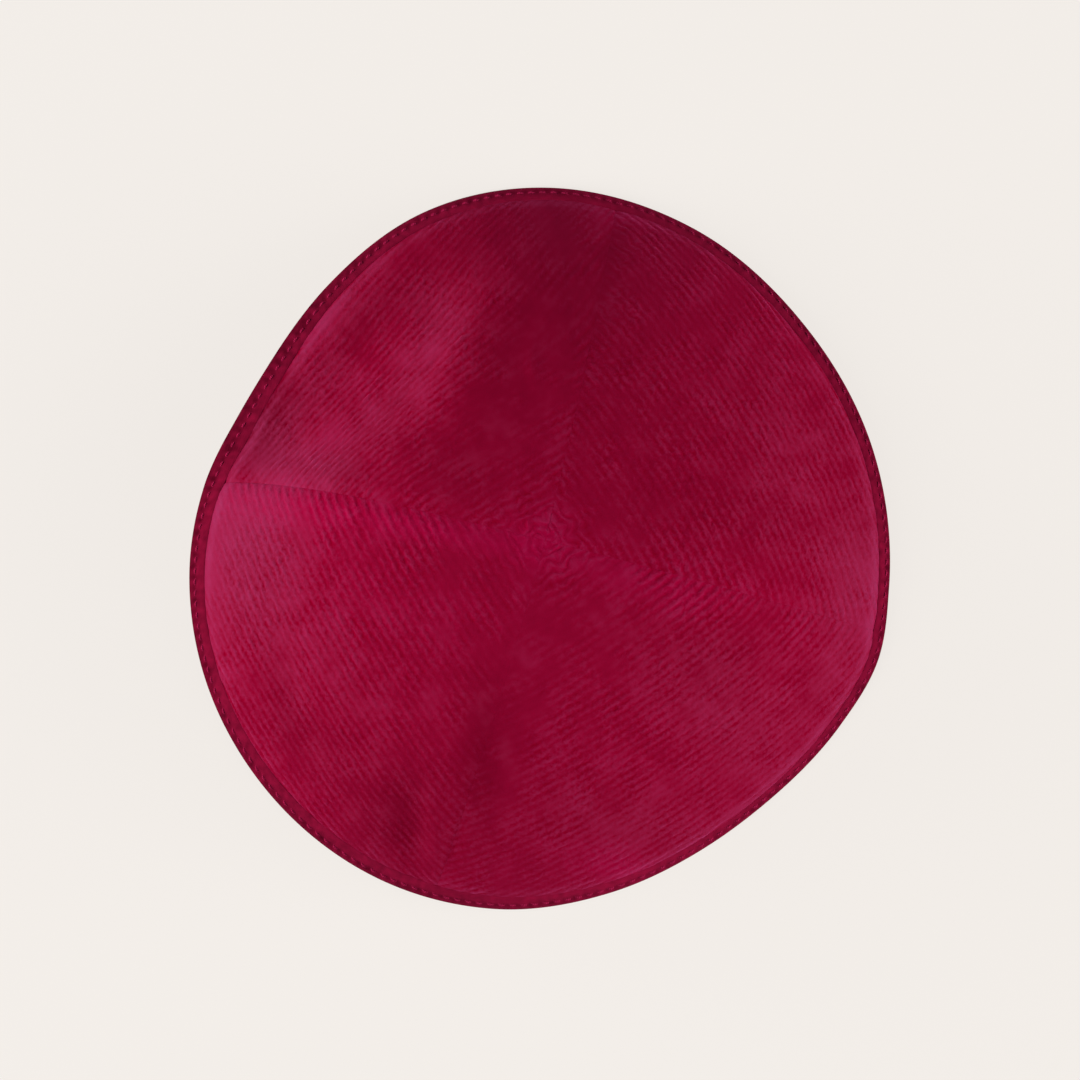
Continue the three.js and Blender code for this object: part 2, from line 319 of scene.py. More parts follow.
LOWER_RIGHT = Gore(
    "lower_right",
    Seam.BOTTOM,
    Seam.RIGHT,
    seed=11,
    rib_bow=0.8,
    crown_turn=3,
    rim_turn=5,
    marks=(
        *CROWN_MARKS,
        *RIGHT_MARKS,
        *BOTTOM_MARKS,
        NapAndLightMark(19 * MM, -24 * MM, 13 * MM, 9 * MM, 20, flat=0.35),
        NapAndLightMark(16 * MM, -7 * MM, 9 * MM, 6 * MM, 165, light=0.12, flat=0.35),
        NapAndLightMark(42 * MM, -27 * MM, 11 * MM, 8 * MM, 30, light=-0.14),
        NapAndLightMark(64 * MM, -36 * MM, 9 * MM, 6 * MM, 60, light=-0.14),
        NapAndLightMark(32 * MM, -12 * MM, 13 * MM, 6 * MM, 162, light=0.18),
        NapAndLightMark(18 * MM, -78 * MM, 11 * MM, 5 * MM, 165, light=0.25),
        NapAndLightMark(48 * MM, -44 * MM, 32 * MM, 16 * MM, 135, bloom=0.2),
        NapAndLightMark(22 * MM, -68 * MM, 24 * MM, 10 * MM, 165, bloom=0.16),
    ),
)
GORES = (UPPER_RIGHT, UPPER_LEFT, LOWER_LEFT, LOWER_RIGHT)


@dataclass(frozen=True)
class RimStation:
    """The rim's distance from the crown at an azimuth, and the cloth's bulge above the binding."""

    azimuth: float
    radius: float
    roll: float


RIM = (
    RimStation(15, 81.5 * MM, 0.9 * MM),
    RimStation(40, 80.7 * MM, 0.9 * MM),
    RimStation(65, 82.7 * MM, 0.8 * MM),
    RimStation(90, 84.4 * MM, 0.7 * MM),
    RimStation(110, 83.7 * MM, 0.5 * MM),
    RimStation(130, 80.2 * MM, 0.2 * MM),
    RimStation(146, 78.3 * MM, 0.0 * MM),
    RimStation(158, 79.2 * MM, 0.0 * MM),
    RimStation(171, 82.6 * MM, 0.1 * MM),
    RimStation(187, 85.8 * MM, 0.3 * MM),
    RimStation(210, 88.7 * MM, 0.4 * MM),
    RimStation(240, 90.4 * MM, 0.5 * MM),
    RimStation(262, 89.2 * MM, 0.7 * MM),
    RimStation(280, 86.0 * MM, 0.9 * MM),
    RimStation(297, 83.1 * MM, 1.0 * MM),
    RimStation(311, 82.2 * MM, 1.0 * MM),
    RimStation(328, 83.5 * MM, 0.9 * MM),
    RimStation(340, 84.8 * MM, 0.9 * MM),
    RimStation(352, 83.2 * MM, 0.9 * MM),
)


@dataclass(frozen=True)
class RimLift:
    """A stretch where the rim stands a little off the floor."""

    azimuth: float
    half_width: float
    rise: float


RIM_LIFTS = (RimLift(148, 22, 1.4 * MM), RimLift(308, 20, 1.0 * MM))


@dataclass(frozen=True)
class Fold(Patch):
    """A dent or fold in the cloth. A negative depth is a ridge."""

    depth: float

    def depth_at(self, x: Array, y: Array) -> Array:
        """How far the cloth is pushed in at a point in plan."""
        return self.depth * self.share_at(x, y)


# The side dent and its tail, two puckers at the bottom, hollows beside the seams, a dent at lower left
MAIN_FOLDS = (
    Fold(-42 * MM, 40 * MM, 30 * MM, 15 * MM, 47, 5.0 * MM),
    Fold(-68 * MM, 22 * MM, 12 * MM, 7 * MM, 15, 1.6 * MM),
    Fold(-31.5 * MM, -70 * MM, 12 * MM, 3.5 * MM, 97, 1.4 * MM),
    Fold(-25.5 * MM, -69 * MM, 11 * MM, 3 * MM, 92, -0.7 * MM),
    Fold(-14.5 * MM, -46 * MM, 18 * MM, 5 * MM, 85, 0.6 * MM),
    Fold(11 * MM, 62 * MM, 16 * MM, 5 * MM, 81, 0.8 * MM),
    Fold(-60 * MM, -38 * MM, 15 * MM, 6 * MM, 104, 0.8 * MM),
)

# Shelf, upper end and two crests of the side dent, creases in its ridge, waves by two of the seams
FINE_FOLDS = (
    Fold(-50 * MM, 45 * MM, 18 * MM, 5.0 * MM, 48, 0.7 * MM),
    Fold(-27 * MM, 60 * MM, 9 * MM, 8.0 * MM, 60, 0.9 * MM),
    Fold(-22 * MM, 44 * MM, 14 * MM, 5.0 * MM, 60, -0.5 * MM),
    Fold(-40 * MM, 21 * MM, 14 * MM, 4.0 * MM, 25, -0.5 * MM),
    Fold(-27.4 * MM, 43.2 * MM, 3.0 * MM, 0.9 * MM, 43, 0.35 * MM),
    Fold(-35.3 * MM, 35.3 * MM, 3.0 * MM, 0.9 * MM, 43, 0.35 * MM),
    Fold(-21.2 * MM, -71.6 * MM, 8.0 * MM, 1.8 * MM, 78, 0.45 * MM),
    Fold(-2.6 * MM, 40.1 * MM, 4.6 * MM, 1.6 * MM, 96, -0.25 * MM),
    Fold(-6.0 * MM, 48.0 * MM, 14 * MM, 4.0 * MM, 62, 0.35 * MM),
    Fold(-31.5 * MM, -70.0 * MM, 11 * MM, 3.0 * MM, 97, -0.5 * MM),
)


@dataclass(frozen=True)
class CapForm:
    """The smooth outer face of the cloth, with its gores, dents and folds."""

    crown_x: float = 1.2 * MM
    crown_y: float = 2.0 * MM
    dome_height: float = 50 * MM
    rim_slope: float = RIM_SLOPE
    panel_sag: float = 1.2 * MM
    roll_width: float = 8 * MM
    seam_dip_width: float = 2.4 * MM
    seam_dip_start: float = 8 * MM
    rim_proud: float = BINDING_PROUD / math.sin(RIM_SLOPE)
    fold_fade_power: int = 12
    lift_power: int = 4
    low_run: float = 1.0 * MM
    azimuth_step: float = 0.2
    share_step: float = 0.001

    def rim_value(self, azimuth: Array, column: str) -> Array:
        """A smooth closed curve through one column of the rim's stations.

        Args:
            azimuth: Where the value is wanted.
            column: The name of the stations' field.

        Returns:
            The value at each azimuth.
        """
        angles = np.array([station.azimuth for station in RIM])
        values = np.array([getattr(station, column) for station in RIM])
        following = np.searchsorted(angles, np.mod(azimuth, FULL_TURN), side="right")
        places = [(following + offset) % len(RIM) for offset in (-2, -1, 0, 1)]
        a0, a1, a2, a3 = (angles[place] for place in places)
        v0, v1, v2, v3 = (values[place] for place in places)
        span01, span12, span23 = turn_between(a0, a1), turn_between(a1, a2), turn_between(a2, a3)
        slope1 = (v2 - v0) / (span01 + span12) * span12
        slope2 = (v3 - v1) / (span12 + span23) * span12
        t = turn_between(a1, azimuth) / span12
        t2, t3 = t**2, t**3
        starts = (2 * t3 - 3 * t2 + 1) * v1 + (t3 - 2 * t2 + t) * slope1
        return starts + (3 * t2 - 2 * t3) * v2 + (t3 - t2) * slope2

    def rim_radius(self, azimuth: Array) -> Array:
        """Plan distance from the crown to the cloth's outer face at the rim."""
        return self.rim_value(azimuth, "radius") - self.rim_proud

    def meridian_length(self, azimuth: Array) -> Array:
        """Length of the cloth from the crown to the rim."""
        return self.rim_radius(azimuth) * self.rim_slope / math.sin(self.rim_slope)

    def plan_point(self, azimuth: Array, share: Array) -> tuple[Array, Array]:
        """x and y in plan, from the crown, at a share of the way to the rim."""
        radius = self.plan_radius(azimuth, share)
        return radius * np.cos(np.radians(azimuth)), radius * np.sin(np.radians(azimuth))

    def plan_radius(self, azimuth: Array, share: Array) -> Array:
        """Plan distance from the crown at a share of the way to the rim."""
        return self.rim_radius(azimuth) * np.sin(self.rim_slope * share) / math.sin(self.rim_slope)

    def rim_lift(self, azimuth: Array) -> Array:
        """How far the rim stands off the floor.

        Args:
            azimuth: Where the lift is wanted.

        Returns:
            The sum of all lifts at each azimuth.
        """
        total = np.zeros_like(np.asarray(azimuth, dtype=float))
        for lift in RIM_LIFTS:
            share = np.minimum(1.0, np.abs(turn_between(lift.azimuth, azimuth)) / lift.half_width)
            total = total + lift.rise * np.cos(share * math.pi / 2) ** 2
        return total

    def to_seam(self, azimuth: Array, share: Array, radius: Array) -> Array:
        """Distance along the cloth's outer face to the nearest seam."""
        turns = [np.abs(turn_between(seam.azimuth(share), azimuth)) for seam in Seam]
        return radius * np.radians(np.minimum.reduce(turns))

    def sewn_depth(self, azimuth: Array, share: Array, radius: Array) -> Array:
        """Depth of the sag between the seams and of the groove along them.

        Args:
            azimuth: Direction from the crown.
            share: How far down from the crown, 1 at the rim.
            radius: Plan distance from the crown.

        Returns:
            The depth below the plain dome.
        """
        depth = np.zeros(np.broadcast(azimuth, share).shape)
        for gore in GORES:
            start, width = gore.span(share)
            across = np.mod(azimuth - start, FULL_TURN)
            sag = self.panel_sag * np.sin(math.pi * across / width) * np.sin(math.pi * share)
            depth = np.where(across <= width, sag, depth)
        for seam in Seam:
            turned = np.radians(turn_between(seam.azimuth(share), azimuth))
            beside = radius * turned / self.seam_dip_width
            groove = np.exp(-beside * beside) * ease(radius, 0, self.seam_dip_start)
            depth = depth + seam.value.dip * groove
        return depth

    def cloth_point(self, azimuth: Array, share: Array) -> Array:
        """The outer face of the cloth.

        Args:
            azimuth: Direction from the crown.
            share: How far down from the crown, 1 at the rim.

        Returns:
            Points, with x, y and z along the last axis.
        """
        slope = self.rim_slope * share
        radius = self.plan_radius(azimuth, share)
        rise = (np.cos(slope) - math.cos(self.rim_slope)) / (1 - math.cos(self.rim_slope))
        east, north = np.cos(np.radians(azimuth)), np.sin(np.radians(azimuth))
        folded = self.sewn_depth(azimuth, share, radius)
        for fold in MAIN_FOLDS + FINE_FOLDS:
            folded = folded + fold.depth_at(radius * east, radius * north)
        above_rim = (1 - share) * self.meridian_length(azimuth) / self.roll_width
        bulge = self.rim_value(azimuth, "roll") * above_rim * np.exp(1 - above_rim)
        inward = folded * (1 - share**self.fold_fade_power) - bulge
        reach = radius - inward * np.sin(slope)
        lift = self.rim_lift(azimuth) * share**self.lift_power
        height = self.dome_height * rise + lift - inward * np.cos(slope)
        return np.stack([self.crown_x + reach * east, self.crown_y + reach * north, height], axis=-1)

    def outward(self, azimuth: Array, share: Array) -> Array:
        """The directions square to the cloth, out of the cap.

        Args:
            azimuth: Direction from the crown.
            share: How far down from the crown, 1 at the rim.

        Returns:
            Unit vectors, with x, y and z along the last axis.
        """
        above, below = share - self.share_step, share + self.share_step
        before, after = azimuth - self.azimuth_step, azimuth + self.azimuth_step
        down = self.cloth_point(azimuth, below) - self.cloth_point(azimuth, above)
        around = self.cloth_point(after, share) - self.cloth_point(before, share)
        normal = np.cross(down, around)
        return normal / np.linalg.norm(normal, axis=-1, keepdims=True)

    def skin(self, azimuth: Array, share: Array, depth: Array | float) -> Array:
        """The cloth's outer face moved inwards, square to the cloth.

        Args:
            azimuth: Direction from the crown.
            share: How far down from the crown, 1 at the rim.
            depth: How far it is moved.

        Returns:
            Points, with x, y and z along the last axis.
        """
        azimuth, share, depth = np.broadcast_arrays(azimuth, share, np.asarray(depth, dtype=float))
        inwards = self.outward(azimuth, share) * depth[..., None]
        return self.cloth_point(azimuth, share) - inwards

    def over_floor(self, azimuth: Array, height: Array | float, depth: Array | float) -> Array:
        """Places low on the rim, on a straight run down from the cloth a little above its edge.

        Args:
            azimuth: Direction from the crown.
            height: How far the places are above the rim's underside.
            depth: How far they are below the cloth's outer face.

        Returns:
            Points, with x, y and z along the last axis.
        """
        azimuth, depth = np.broadcast_arrays(azimuth, np.asarray(depth, dtype=float))
        low = self.skin(azimuth, np.ones_like(azimuth), depth)
        above = 1 - self.low_run / self.meridian_length(azimuth)
        up = self.skin(azimuth, above, depth) - low
        share = (self.rim_lift(azimuth) + height - low[..., 2]) / up[..., 2]
        return low + up * share[..., None]


FORM = CapForm()


def linear(hex_colour: str) -> tuple[float, float, float, float]:
    """An sRGB colour made linear.

    Args:
        hex_colour: The colour as # and six hexadecimal digits.

    Returns:
        Linear red, green, blue and alpha.
    """
    parts = [int(hex_colour[place : place + 2], 16) / 255 for place in (1, 3, 5)]
    red, green, blue = (p / 12.92 if p <= 0.04045 else ((p + 0.055) / 1.055) ** 2.4 for p in parts)
    return red, green, blue, 1.0


def add_node(
    tree: bpy.types.NodeTree, kind: str, inputs: dict[Any, Any] | None = None, **settings: Any
) -> Any:
    """Adds a node with its settings and links.

    Args:
        tree: The node tree it goes in.
        kind: The node's type.
        inputs: A value or an output socket for each input, by name or place.
        **settings: The node's own properties.

    Returns:
        The new node.
    """
    node = tree.nodes.new(kind)
    for name, value in settings.items():
        setattr(node, name, value)
    for key, value in (inputs or {}).items():
        if isinstance(value, bpy.types.NodeSocket):
            tree.links.new(value, node.inputs[key])
        else:
            node.inputs[key].default_value = value
    return node


def new_material(name: str) -> tuple[bpy.types.Material, bpy.types.NodeTree]:
    """Makes an empty node material.

    Args:
        name: The material's name.

    Returns:
        The material and its node tree.
    """
    material = bpy.data.materials.new(name)
    material.use_nodes = True
    material.node_tree.nodes.clear()
    return material, material.node_tree


def finish_surface(tree: bpy.types.NodeTree, shader: bpy.types.NodeSocket) -> None:
    """Ends a material's tree in its surface output."""
    add_node(tree, "ShaderNodeOutputMaterial", {"Surface": shader})


@dataclass(frozen=True)
class RibbedPile:
    """Cotton cloth woven with a short cut pile in fine ribs, then piece-dyed.

    The pile stands on the ribs, where its cut ends look pinker, and the ground weave between them lies
    in shade. Tufts make both blotchy. Seen or lit from the side, the fibres give a soft bright bloom,
    and where the pile is brushed flat the cloth is smooth. Light and shade are painted into its colour
    as well: lighter patches where the cloth is lit, darker ones where it is shaded and in the crease by
    the binding, and a pinker painted sheen on its slopes and along the rolled edge above the binding.
    Its fibres are drawn over ten times as coarse as real ones, so that they show.
    """

    ridge: str = "#79082C"
    furrow: str = "#71001B"
    # Colours for painted light, painted shade and painted sheen
    lit_brushed_up: str = "#9B083F"
    shaded_brushed_down: str = "#49000E"
    bloomed: str = "#792243"
    rib_pitch: float = 2.15 * MM
    rib_contrast: float = 0.25
    tuft_length: float = 1.2 * MM
    tuft_width: float = 0.9 * MM
    tuft_contrast: float = 1.6
    frost: float = 0.32
    tuft_height: float = 0.13 * MM
    fibre: float = 0.28 * MM
    fibre_height: float = 0.025 * MM
    roughness: float = 0.9
    sheen_weight: float = 0.6
    sheen_roughness: float = 0.3
    sheen_tint: str = "#FF6CBC"

    def material(self) -> bpy.types.Material:
        """Builds the node material.

        Returns:
            The material.
        """
        made, tree = new_material("ribbed_cotton_pile")
        cloth = add_node(tree, "ShaderNodeAttribute", attribute_name="cloth").outputs["Vector"]
        light_shade_and_tone = add_node(tree, "ShaderNodeAttribute", attribute_name="light_shade_and_tone").outputs["Fac"]
        raised = add_node(tree, "ShaderNodeAttribute", attribute_name="raised").outputs["Fac"]
        bloom = add_node(tree, "ShaderNodeAttribute", attribute_name="bloom").outputs["Fac"]
        split = add_node(tree, "ShaderNodeSeparateXYZ", {"Vector": cloth})
        turn = add_node(
            tree,
            "ShaderNodeMath",
            {0: split.outputs["Y"], 1: math.tau / self.rib_pitch},
            operation="MULTIPLY",
        )
        wave = add_node(tree, "ShaderNodeMath", {0: turn.outputs[0]}, operation="COSINE")
        stretched = add_node(
            tree,
            "ShaderNodeMapping",
            {"Vector": cloth, "Scale": (1 / self.tuft_length, 1 / self.tuft_width, 1.0)},
        )
        tufts = add_node(
            tree,
            "ShaderNodeTexNoise",
            {"Vector": stretched.outputs["Vector"], "Scale": 1.0, "Detail": 2.0, "Roughness": 0.6},
            noise_dimensions="2D",
        )
        fibres = add_node(
            tree,
            "ShaderNodeTexNoise",
            {"Vector": cloth, "Scale": 1 / self.fibre, "Detail": 2.0, "Roughness": 0.6},
            noise_dimensions="2D",
        )
        ribbed = add_node(
            tree,
            "ShaderNodeMath",
            {0: wave.outputs[0], 1: self.rib_contrast},
            operation="MULTIPLY",
        )
        blotch = add_node(
            tree,
            "ShaderNodeMath",
            {0: tufts.outputs["Fac"], 1: self.tuft_contrast, 2: -self.tuft_contrast / 2},
            operation="MULTIPLY_ADD",
        )
        uneven = add_node(
            tree,
            "ShaderNodeMath",
            {0: ribbed.outputs[0], 1: blotch.outputs[0]},
            operation="ADD",
        )
        cut_ends = add_node(
            tree,
            "ShaderNodeMath",
            {0: uneven.outputs[0], 1: raised, 2: 0.5},
            operation="MULTIPLY_ADD",
        )
        pile = add_node(
            tree,
            "ShaderNodeMix",
            {"Factor": cut_ends.outputs[0], "A": linear(self.furrow), "B": linear(self.ridge)},
            data_type="RGBA",
        )
        # Painted light and shade: towards a lighter colour where the attribute is above 0, a darker one
        # below
        lighter = add_node(
            tree,
            "ShaderNodeMix",
            {"Factor": light_shade_and_tone, "A": pile.outputs["Result"], "B": linear(self.lit_brushed_up)},
            data_type="RGBA",
        )
        turned = add_node(tree, "ShaderNodeMath", {0: light_shade_and_tone, 1: -1.0}, operation="MULTIPLY")
        darker = add_node(
            tree,
            "ShaderNodeMix",
            {
                "Factor": turned.outputs[0],
                "A": lighter.outputs["Result"],
                "B": linear(self.shaded_brushed_down),
            },
            data_type="RGBA",
        )
        # Painted sheen: a pinker colour mixed in by the bloom attribute, made uneven by the ribs and
        # tufts
        frosted = add_node(
            tree,
            "ShaderNodeMath",
            {0: uneven.outputs[0], 1: self.frost},
            operation="MULTIPLY",
        )
        bloomed = add_node(
            tree,
            "ShaderNodeMath",
            {0: frosted.outputs[0], 1: raised, 2: bloom},
            operation="MULTIPLY_ADD",
        )
        pinker = add_node(
            tree,
            "ShaderNodeMix",
            {"Factor": bloomed.outputs[0], "A": darker.outputs["Result"], "B": linear(self.bloomed)},
            data_type="RGBA",
        )
        tufted = add_node(
            tree,
            "ShaderNodeBump",
            {"Strength": raised, "Distance": self.tuft_height, "Height": tufts.outputs["Fac"]},
        )
        relief = add_node(
            tree,
            "ShaderNodeBump",
            {
                "Distance": self.fibre_height,
                "Height": fibres.outputs["Fac"],
                "Normal": tufted.outputs["Normal"],
            },
        )
        shader = add_node(
            tree,
            "ShaderNodeBsdfPrincipled",
            {
                "Base Color": pinker.outputs["Result"],
                "Roughness": self.roughness,
                "Specular IOR Level": 0.0,
                "Sheen Weight": self.sheen_weight,
                "Sheen Roughness": self.sheen_roughness,
                "Sheen Tint": linear(self.sheen_tint),
                "Normal": relief.outputs["Normal"],
            },
        )
        finish_surface(tree, shader.outputs["BSDF"])
        return made


@dataclass(frozen=True)
class ClothBack:
    """The ribbed cloth's wrong side: a plain cotton ground weave with no pile, matt and darker.

    The threads are drawn about twice as thick as real ones, so that the weave shows.
    """

    warp: str = "#620624"
    weft: str = "#4A0219"
    thread_spacing: float = 0.55 * MM
    thread_height: float = 0.06 * MM
    roughness: float = 0.95

    def material(self) -> bpy.types.Material:
        """Builds the node material.

        Returns:
            The material.
        """
        made, tree = new_material("cotton_ground_weave")
        cloth = add_node(tree, "ShaderNodeAttribute", attribute_name="cloth").outputs["Vector"]
        scale = math.tau / self.thread_spacing
        split = add_node(tree, "ShaderNodeSeparateXYZ", {"Vector": cloth})
        waves = []
        for axis in ("X", "Y"):
            turn = add_node(
                tree, "ShaderNodeMath", {0: split.outputs[axis], 1: scale}, operation="MULTIPLY"
            )
            wave = add_node(tree, "ShaderNodeMath", {0: turn.outputs[0]}, operation="SINE")
            waves.append(wave.outputs[0])
        crossed = add_node(
            tree, "ShaderNodeMath", {0: waves[0], 1: waves[1]}, operation="MULTIPLY"
        )
        over = add_node(
            tree, "ShaderNodeMath", {0: crossed.outputs[0], 1: 0.5, 2: 0.5}, operation="MULTIPLY_ADD"
        )
        colour = add_node(
            tree,
            "ShaderNodeMix",
            {"Factor": over.outputs[0], "A": linear(self.weft), "B": linear(self.warp)},
            data_type="RGBA",
        )
        relief = add_node(
            tree, "ShaderNodeBump", {"Distance": self.thread_height, "Height": over.outputs[0]}
        )
        shader = add_node(
            tree,
            "ShaderNodeBsdfPrincipled",
            {
                "Base Color": colour.outputs["Result"],
                "Roughness": self.roughness,
                "Specular IOR Level": 0.0,
                "Normal": relief.outputs["Normal"],
            },
        )
        finish_surface(tree, shader.outputs["BSDF"])
        return made


@dataclass(frozen=True)
class BindingTwill:
    """Smooth cotton twill strip, dyed darker than the ribbed cloth, with a faint bloom along its fold.

    Fine slanted lines and soft blotches keep it from looking flat. Light is painted on it, rising
    towards its upper edge and stronger along two stretches, with painted shade in the needle holes.
    The lines are drawn about twice as coarse as real ones, so that they show.
    """

    face: str = "#4E0518"
    shade: str = "#33020D"
    strip_painted_light: str = "#820E30"
    twill_spacing: float = 0.6 * MM
    twill_height: float = 0.04 * MM
    twill_contrast: float = 0.2
    mottle: float = 1.6 * MM
    roughness: float = 0.6
    sheen_weight: float = 0.05
    sheen_roughness: float = 0.4
    sheen_tint: str = "#FF62A0"

    def material(self) -> bpy.types.Material:
        """Builds the node material.

        Returns:
            The material.
        """
        made, tree = new_material("binding_cotton_twill")
        cloth = add_node(tree, "ShaderNodeAttribute", attribute_name="cloth").outputs["Vector"]
        split = add_node(tree, "ShaderNodeSeparateXYZ", {"Vector": cloth})
        slanted = add_node(
            tree, "ShaderNodeMath", {0: split.outputs["X"], 1: split.outputs["Y"]}, operation="ADD"
        )
        turn = add_node(
            tree,
            "ShaderNodeMath",
            {0: slanted.outputs[0], 1: math.tau / self.twill_spacing},
            operation="MULTIPLY",
        )
        lines = add_node(tree, "ShaderNodeMath", {0: turn.outputs[0]}, operation="SINE")
        mottle = add_node(
            tree,
            "ShaderNodeTexNoise",
            {"Vector": cloth, "Scale": 1 / self.mottle, "Detail": 3.0, "Roughness": 0.6},
            noise_dimensions="2D",
        )
        mixed = add_node(
            tree,
            "ShaderNodeMath",
            {0: lines.outputs[0], 1: self.twill_contrast, 2: mottle.outputs["Fac"]},
            operation="MULTIPLY_ADD",
        )
        colour = add_node(
            tree,
            "ShaderNodeMix",
            {"Factor": mixed.outputs[0], "A": linear(self.shade), "B": linear(self.face)},
            data_type="RGBA",
            clamp_factor=True,
        )
        # Painted light and shade: the strip is mixed towards a paler colour by its attribute
        strip_light_factor = add_node(tree, "ShaderNodeAttribute", attribute_name="strip_painted_light").outputs["Fac"]
        paler = add_node(
            tree,
            "ShaderNodeMix",
            {"Factor": strip_light_factor, "A": colour.outputs["Result"], "B": linear(self.strip_painted_light)},
            data_type="RGBA",
        )
        relief = add_node(
            tree, "ShaderNodeBump", {"Distance": self.twill_height, "Height": mixed.outputs[0]}
        )
        shader = add_node(
            tree,
            "ShaderNodeBsdfPrincipled",
            {
                "Base Color": paler.outputs["Result"],
                "Roughness": self.roughness,
                "Specular IOR Level": 0.0,
                "Sheen Weight": self.sheen_weight,
                "Sheen Roughness": self.sheen_roughness,
                "Sheen Tint": linear(self.sheen_tint),
                "Normal": relief.outputs["Normal"],
            },
        )
        finish_surface(tree, shader.outputs["BSDF"])
        return made


@dataclass(frozen=True)
class SewingThread:
    """Two-ply polyester sewing thread, a little lighter than the strip.

    Its twist shows as slanted light and dark bands along each stitch.
    """

    light: str = "#8F1B3F"
    dark: str = "#6A0A2A"
    twists: float = 5.0
    ply_height: float = 0.05 * MM
    roughness: float = 0.5

    def material(self) -> bpy.types.Material:
        """Builds the node material.

        Returns:
            The material.
        """
        made, tree = new_material("sewing_thread")
        along = add_node(tree, "ShaderNodeAttribute", attribute_name="strand_along").outputs["Fac"]
        around = add_node(tree, "ShaderNodeAttribute", attribute_name="strand_around").outputs["Fac"]
        twist = add_node(
            tree, "ShaderNodeMath", {0: along, 1: self.twists, 2: around}, operation="MULTIPLY_ADD"
        )
        turn = add_node(
            tree, "ShaderNodeMath", {0: twist.outputs[0], 1: math.tau}, operation="MULTIPLY"
        )
        ply = add_node(tree, "ShaderNodeMath", {0: turn.outputs[0]}, operation="SINE")
        level = add_node(
            tree, "ShaderNodeMath", {0: ply.outputs[0], 1: 0.5, 2: 0.5}, operation="MULTIPLY_ADD"
        )
        colour = add_node(
            tree,
            "ShaderNodeMix",
            {"Factor": level.outputs[0], "A": linear(self.dark), "B": linear(self.light)},
            data_type="RGBA",
        )
        relief = add_node(
            tree, "ShaderNodeBump", {"Distance": self.ply_height, "Height": level.outputs[0]}
        )
        shader = add_node(
            tree,
            "ShaderNodeBsdfPrincipled",
            {
                "Base Color": colour.outputs["Result"],
                "Roughness": self.roughness,
                "Specular IOR Level": 0.0,
                "Normal": relief.outputs["Normal"],
            },
        )
        finish_surface(tree, shader.outputs["BSDF"])
        return made


def build_mesh(name: str, points: Array, faces: list[tuple[int, ...]]) -> bpy.types.Mesh:
    """Makes a smooth-shaded mesh with crisp edges where its walls turn.

    Args:
        name: The mesh's name.
        points: Its points, one a row.
        faces: Point numbers of each face, counter-clockwise from outside.

    Returns:
        The mesh.
    """
    mesh = bpy.data.meshes.new(name)
    mesh.from_pydata(points.tolist(), [], faces)
    mesh.shade_smooth()
    mesh.set_sharp_from_angle(angle=CRISP_ANGLE)
    return mesh


def show(mesh: bpy.types.Mesh, materials: list[bpy.types.Material]) -> bpy.types.Object:
    """Puts a mesh in the scene, dressed in its materials.

    Args:
        mesh: The mesh.
        materials: Its materials, in the order of its faces' material places.

    Returns:
        An object of the same name.
    """
    for material in materials:
        mesh.materials.append(material)
    piece = bpy.data.objects.new(mesh.name, mesh)
    bpy.context.scene.collection.objects.link(piece)
    return piece


def store(mesh: bpy.types.Mesh, name: str, kind: str, values: Array) -> None:
    """Stores a value for each point of a mesh as a named attribute.

    Args:
        mesh: The mesh.
        name: The attribute's name.
        kind: FLOAT, or FLOAT_VECTOR.
        values: The value of each point.
    """
    attribute = mesh.attributes.new(name, kind, "POINT")
    key = "vector" if kind == "FLOAT_VECTOR" else "value"
    attribute.data.foreach_set(key, np.ascontiguousarray(values, dtype=np.float32).ravel())


@dataclass(frozen=True)
class StripStretch:
    """A stretch of the binding folded deeper, or less deep, on the outside, or with painted light."""

    azimuth: float
    half_width: float
    deeper: float = 0.0
    strip_painted_light: float = 0.0


# The stretches round 85 and 278 degrees get painted light on the strip
STRIP_STRETCHES = (
    StripStretch(85, 32, strip_painted_light=0.4),
    StripStretch(130, 18, deeper=-0.5 * MM),
    StripStretch(172, 20, deeper=0.5 * MM),
    StripStretch(228, 42, deeper=1.0 * MM),
    StripStretch(308, 30, deeper=-1.2 * MM),
    StripStretch(278, 45, strip_painted_light=0.32),
)


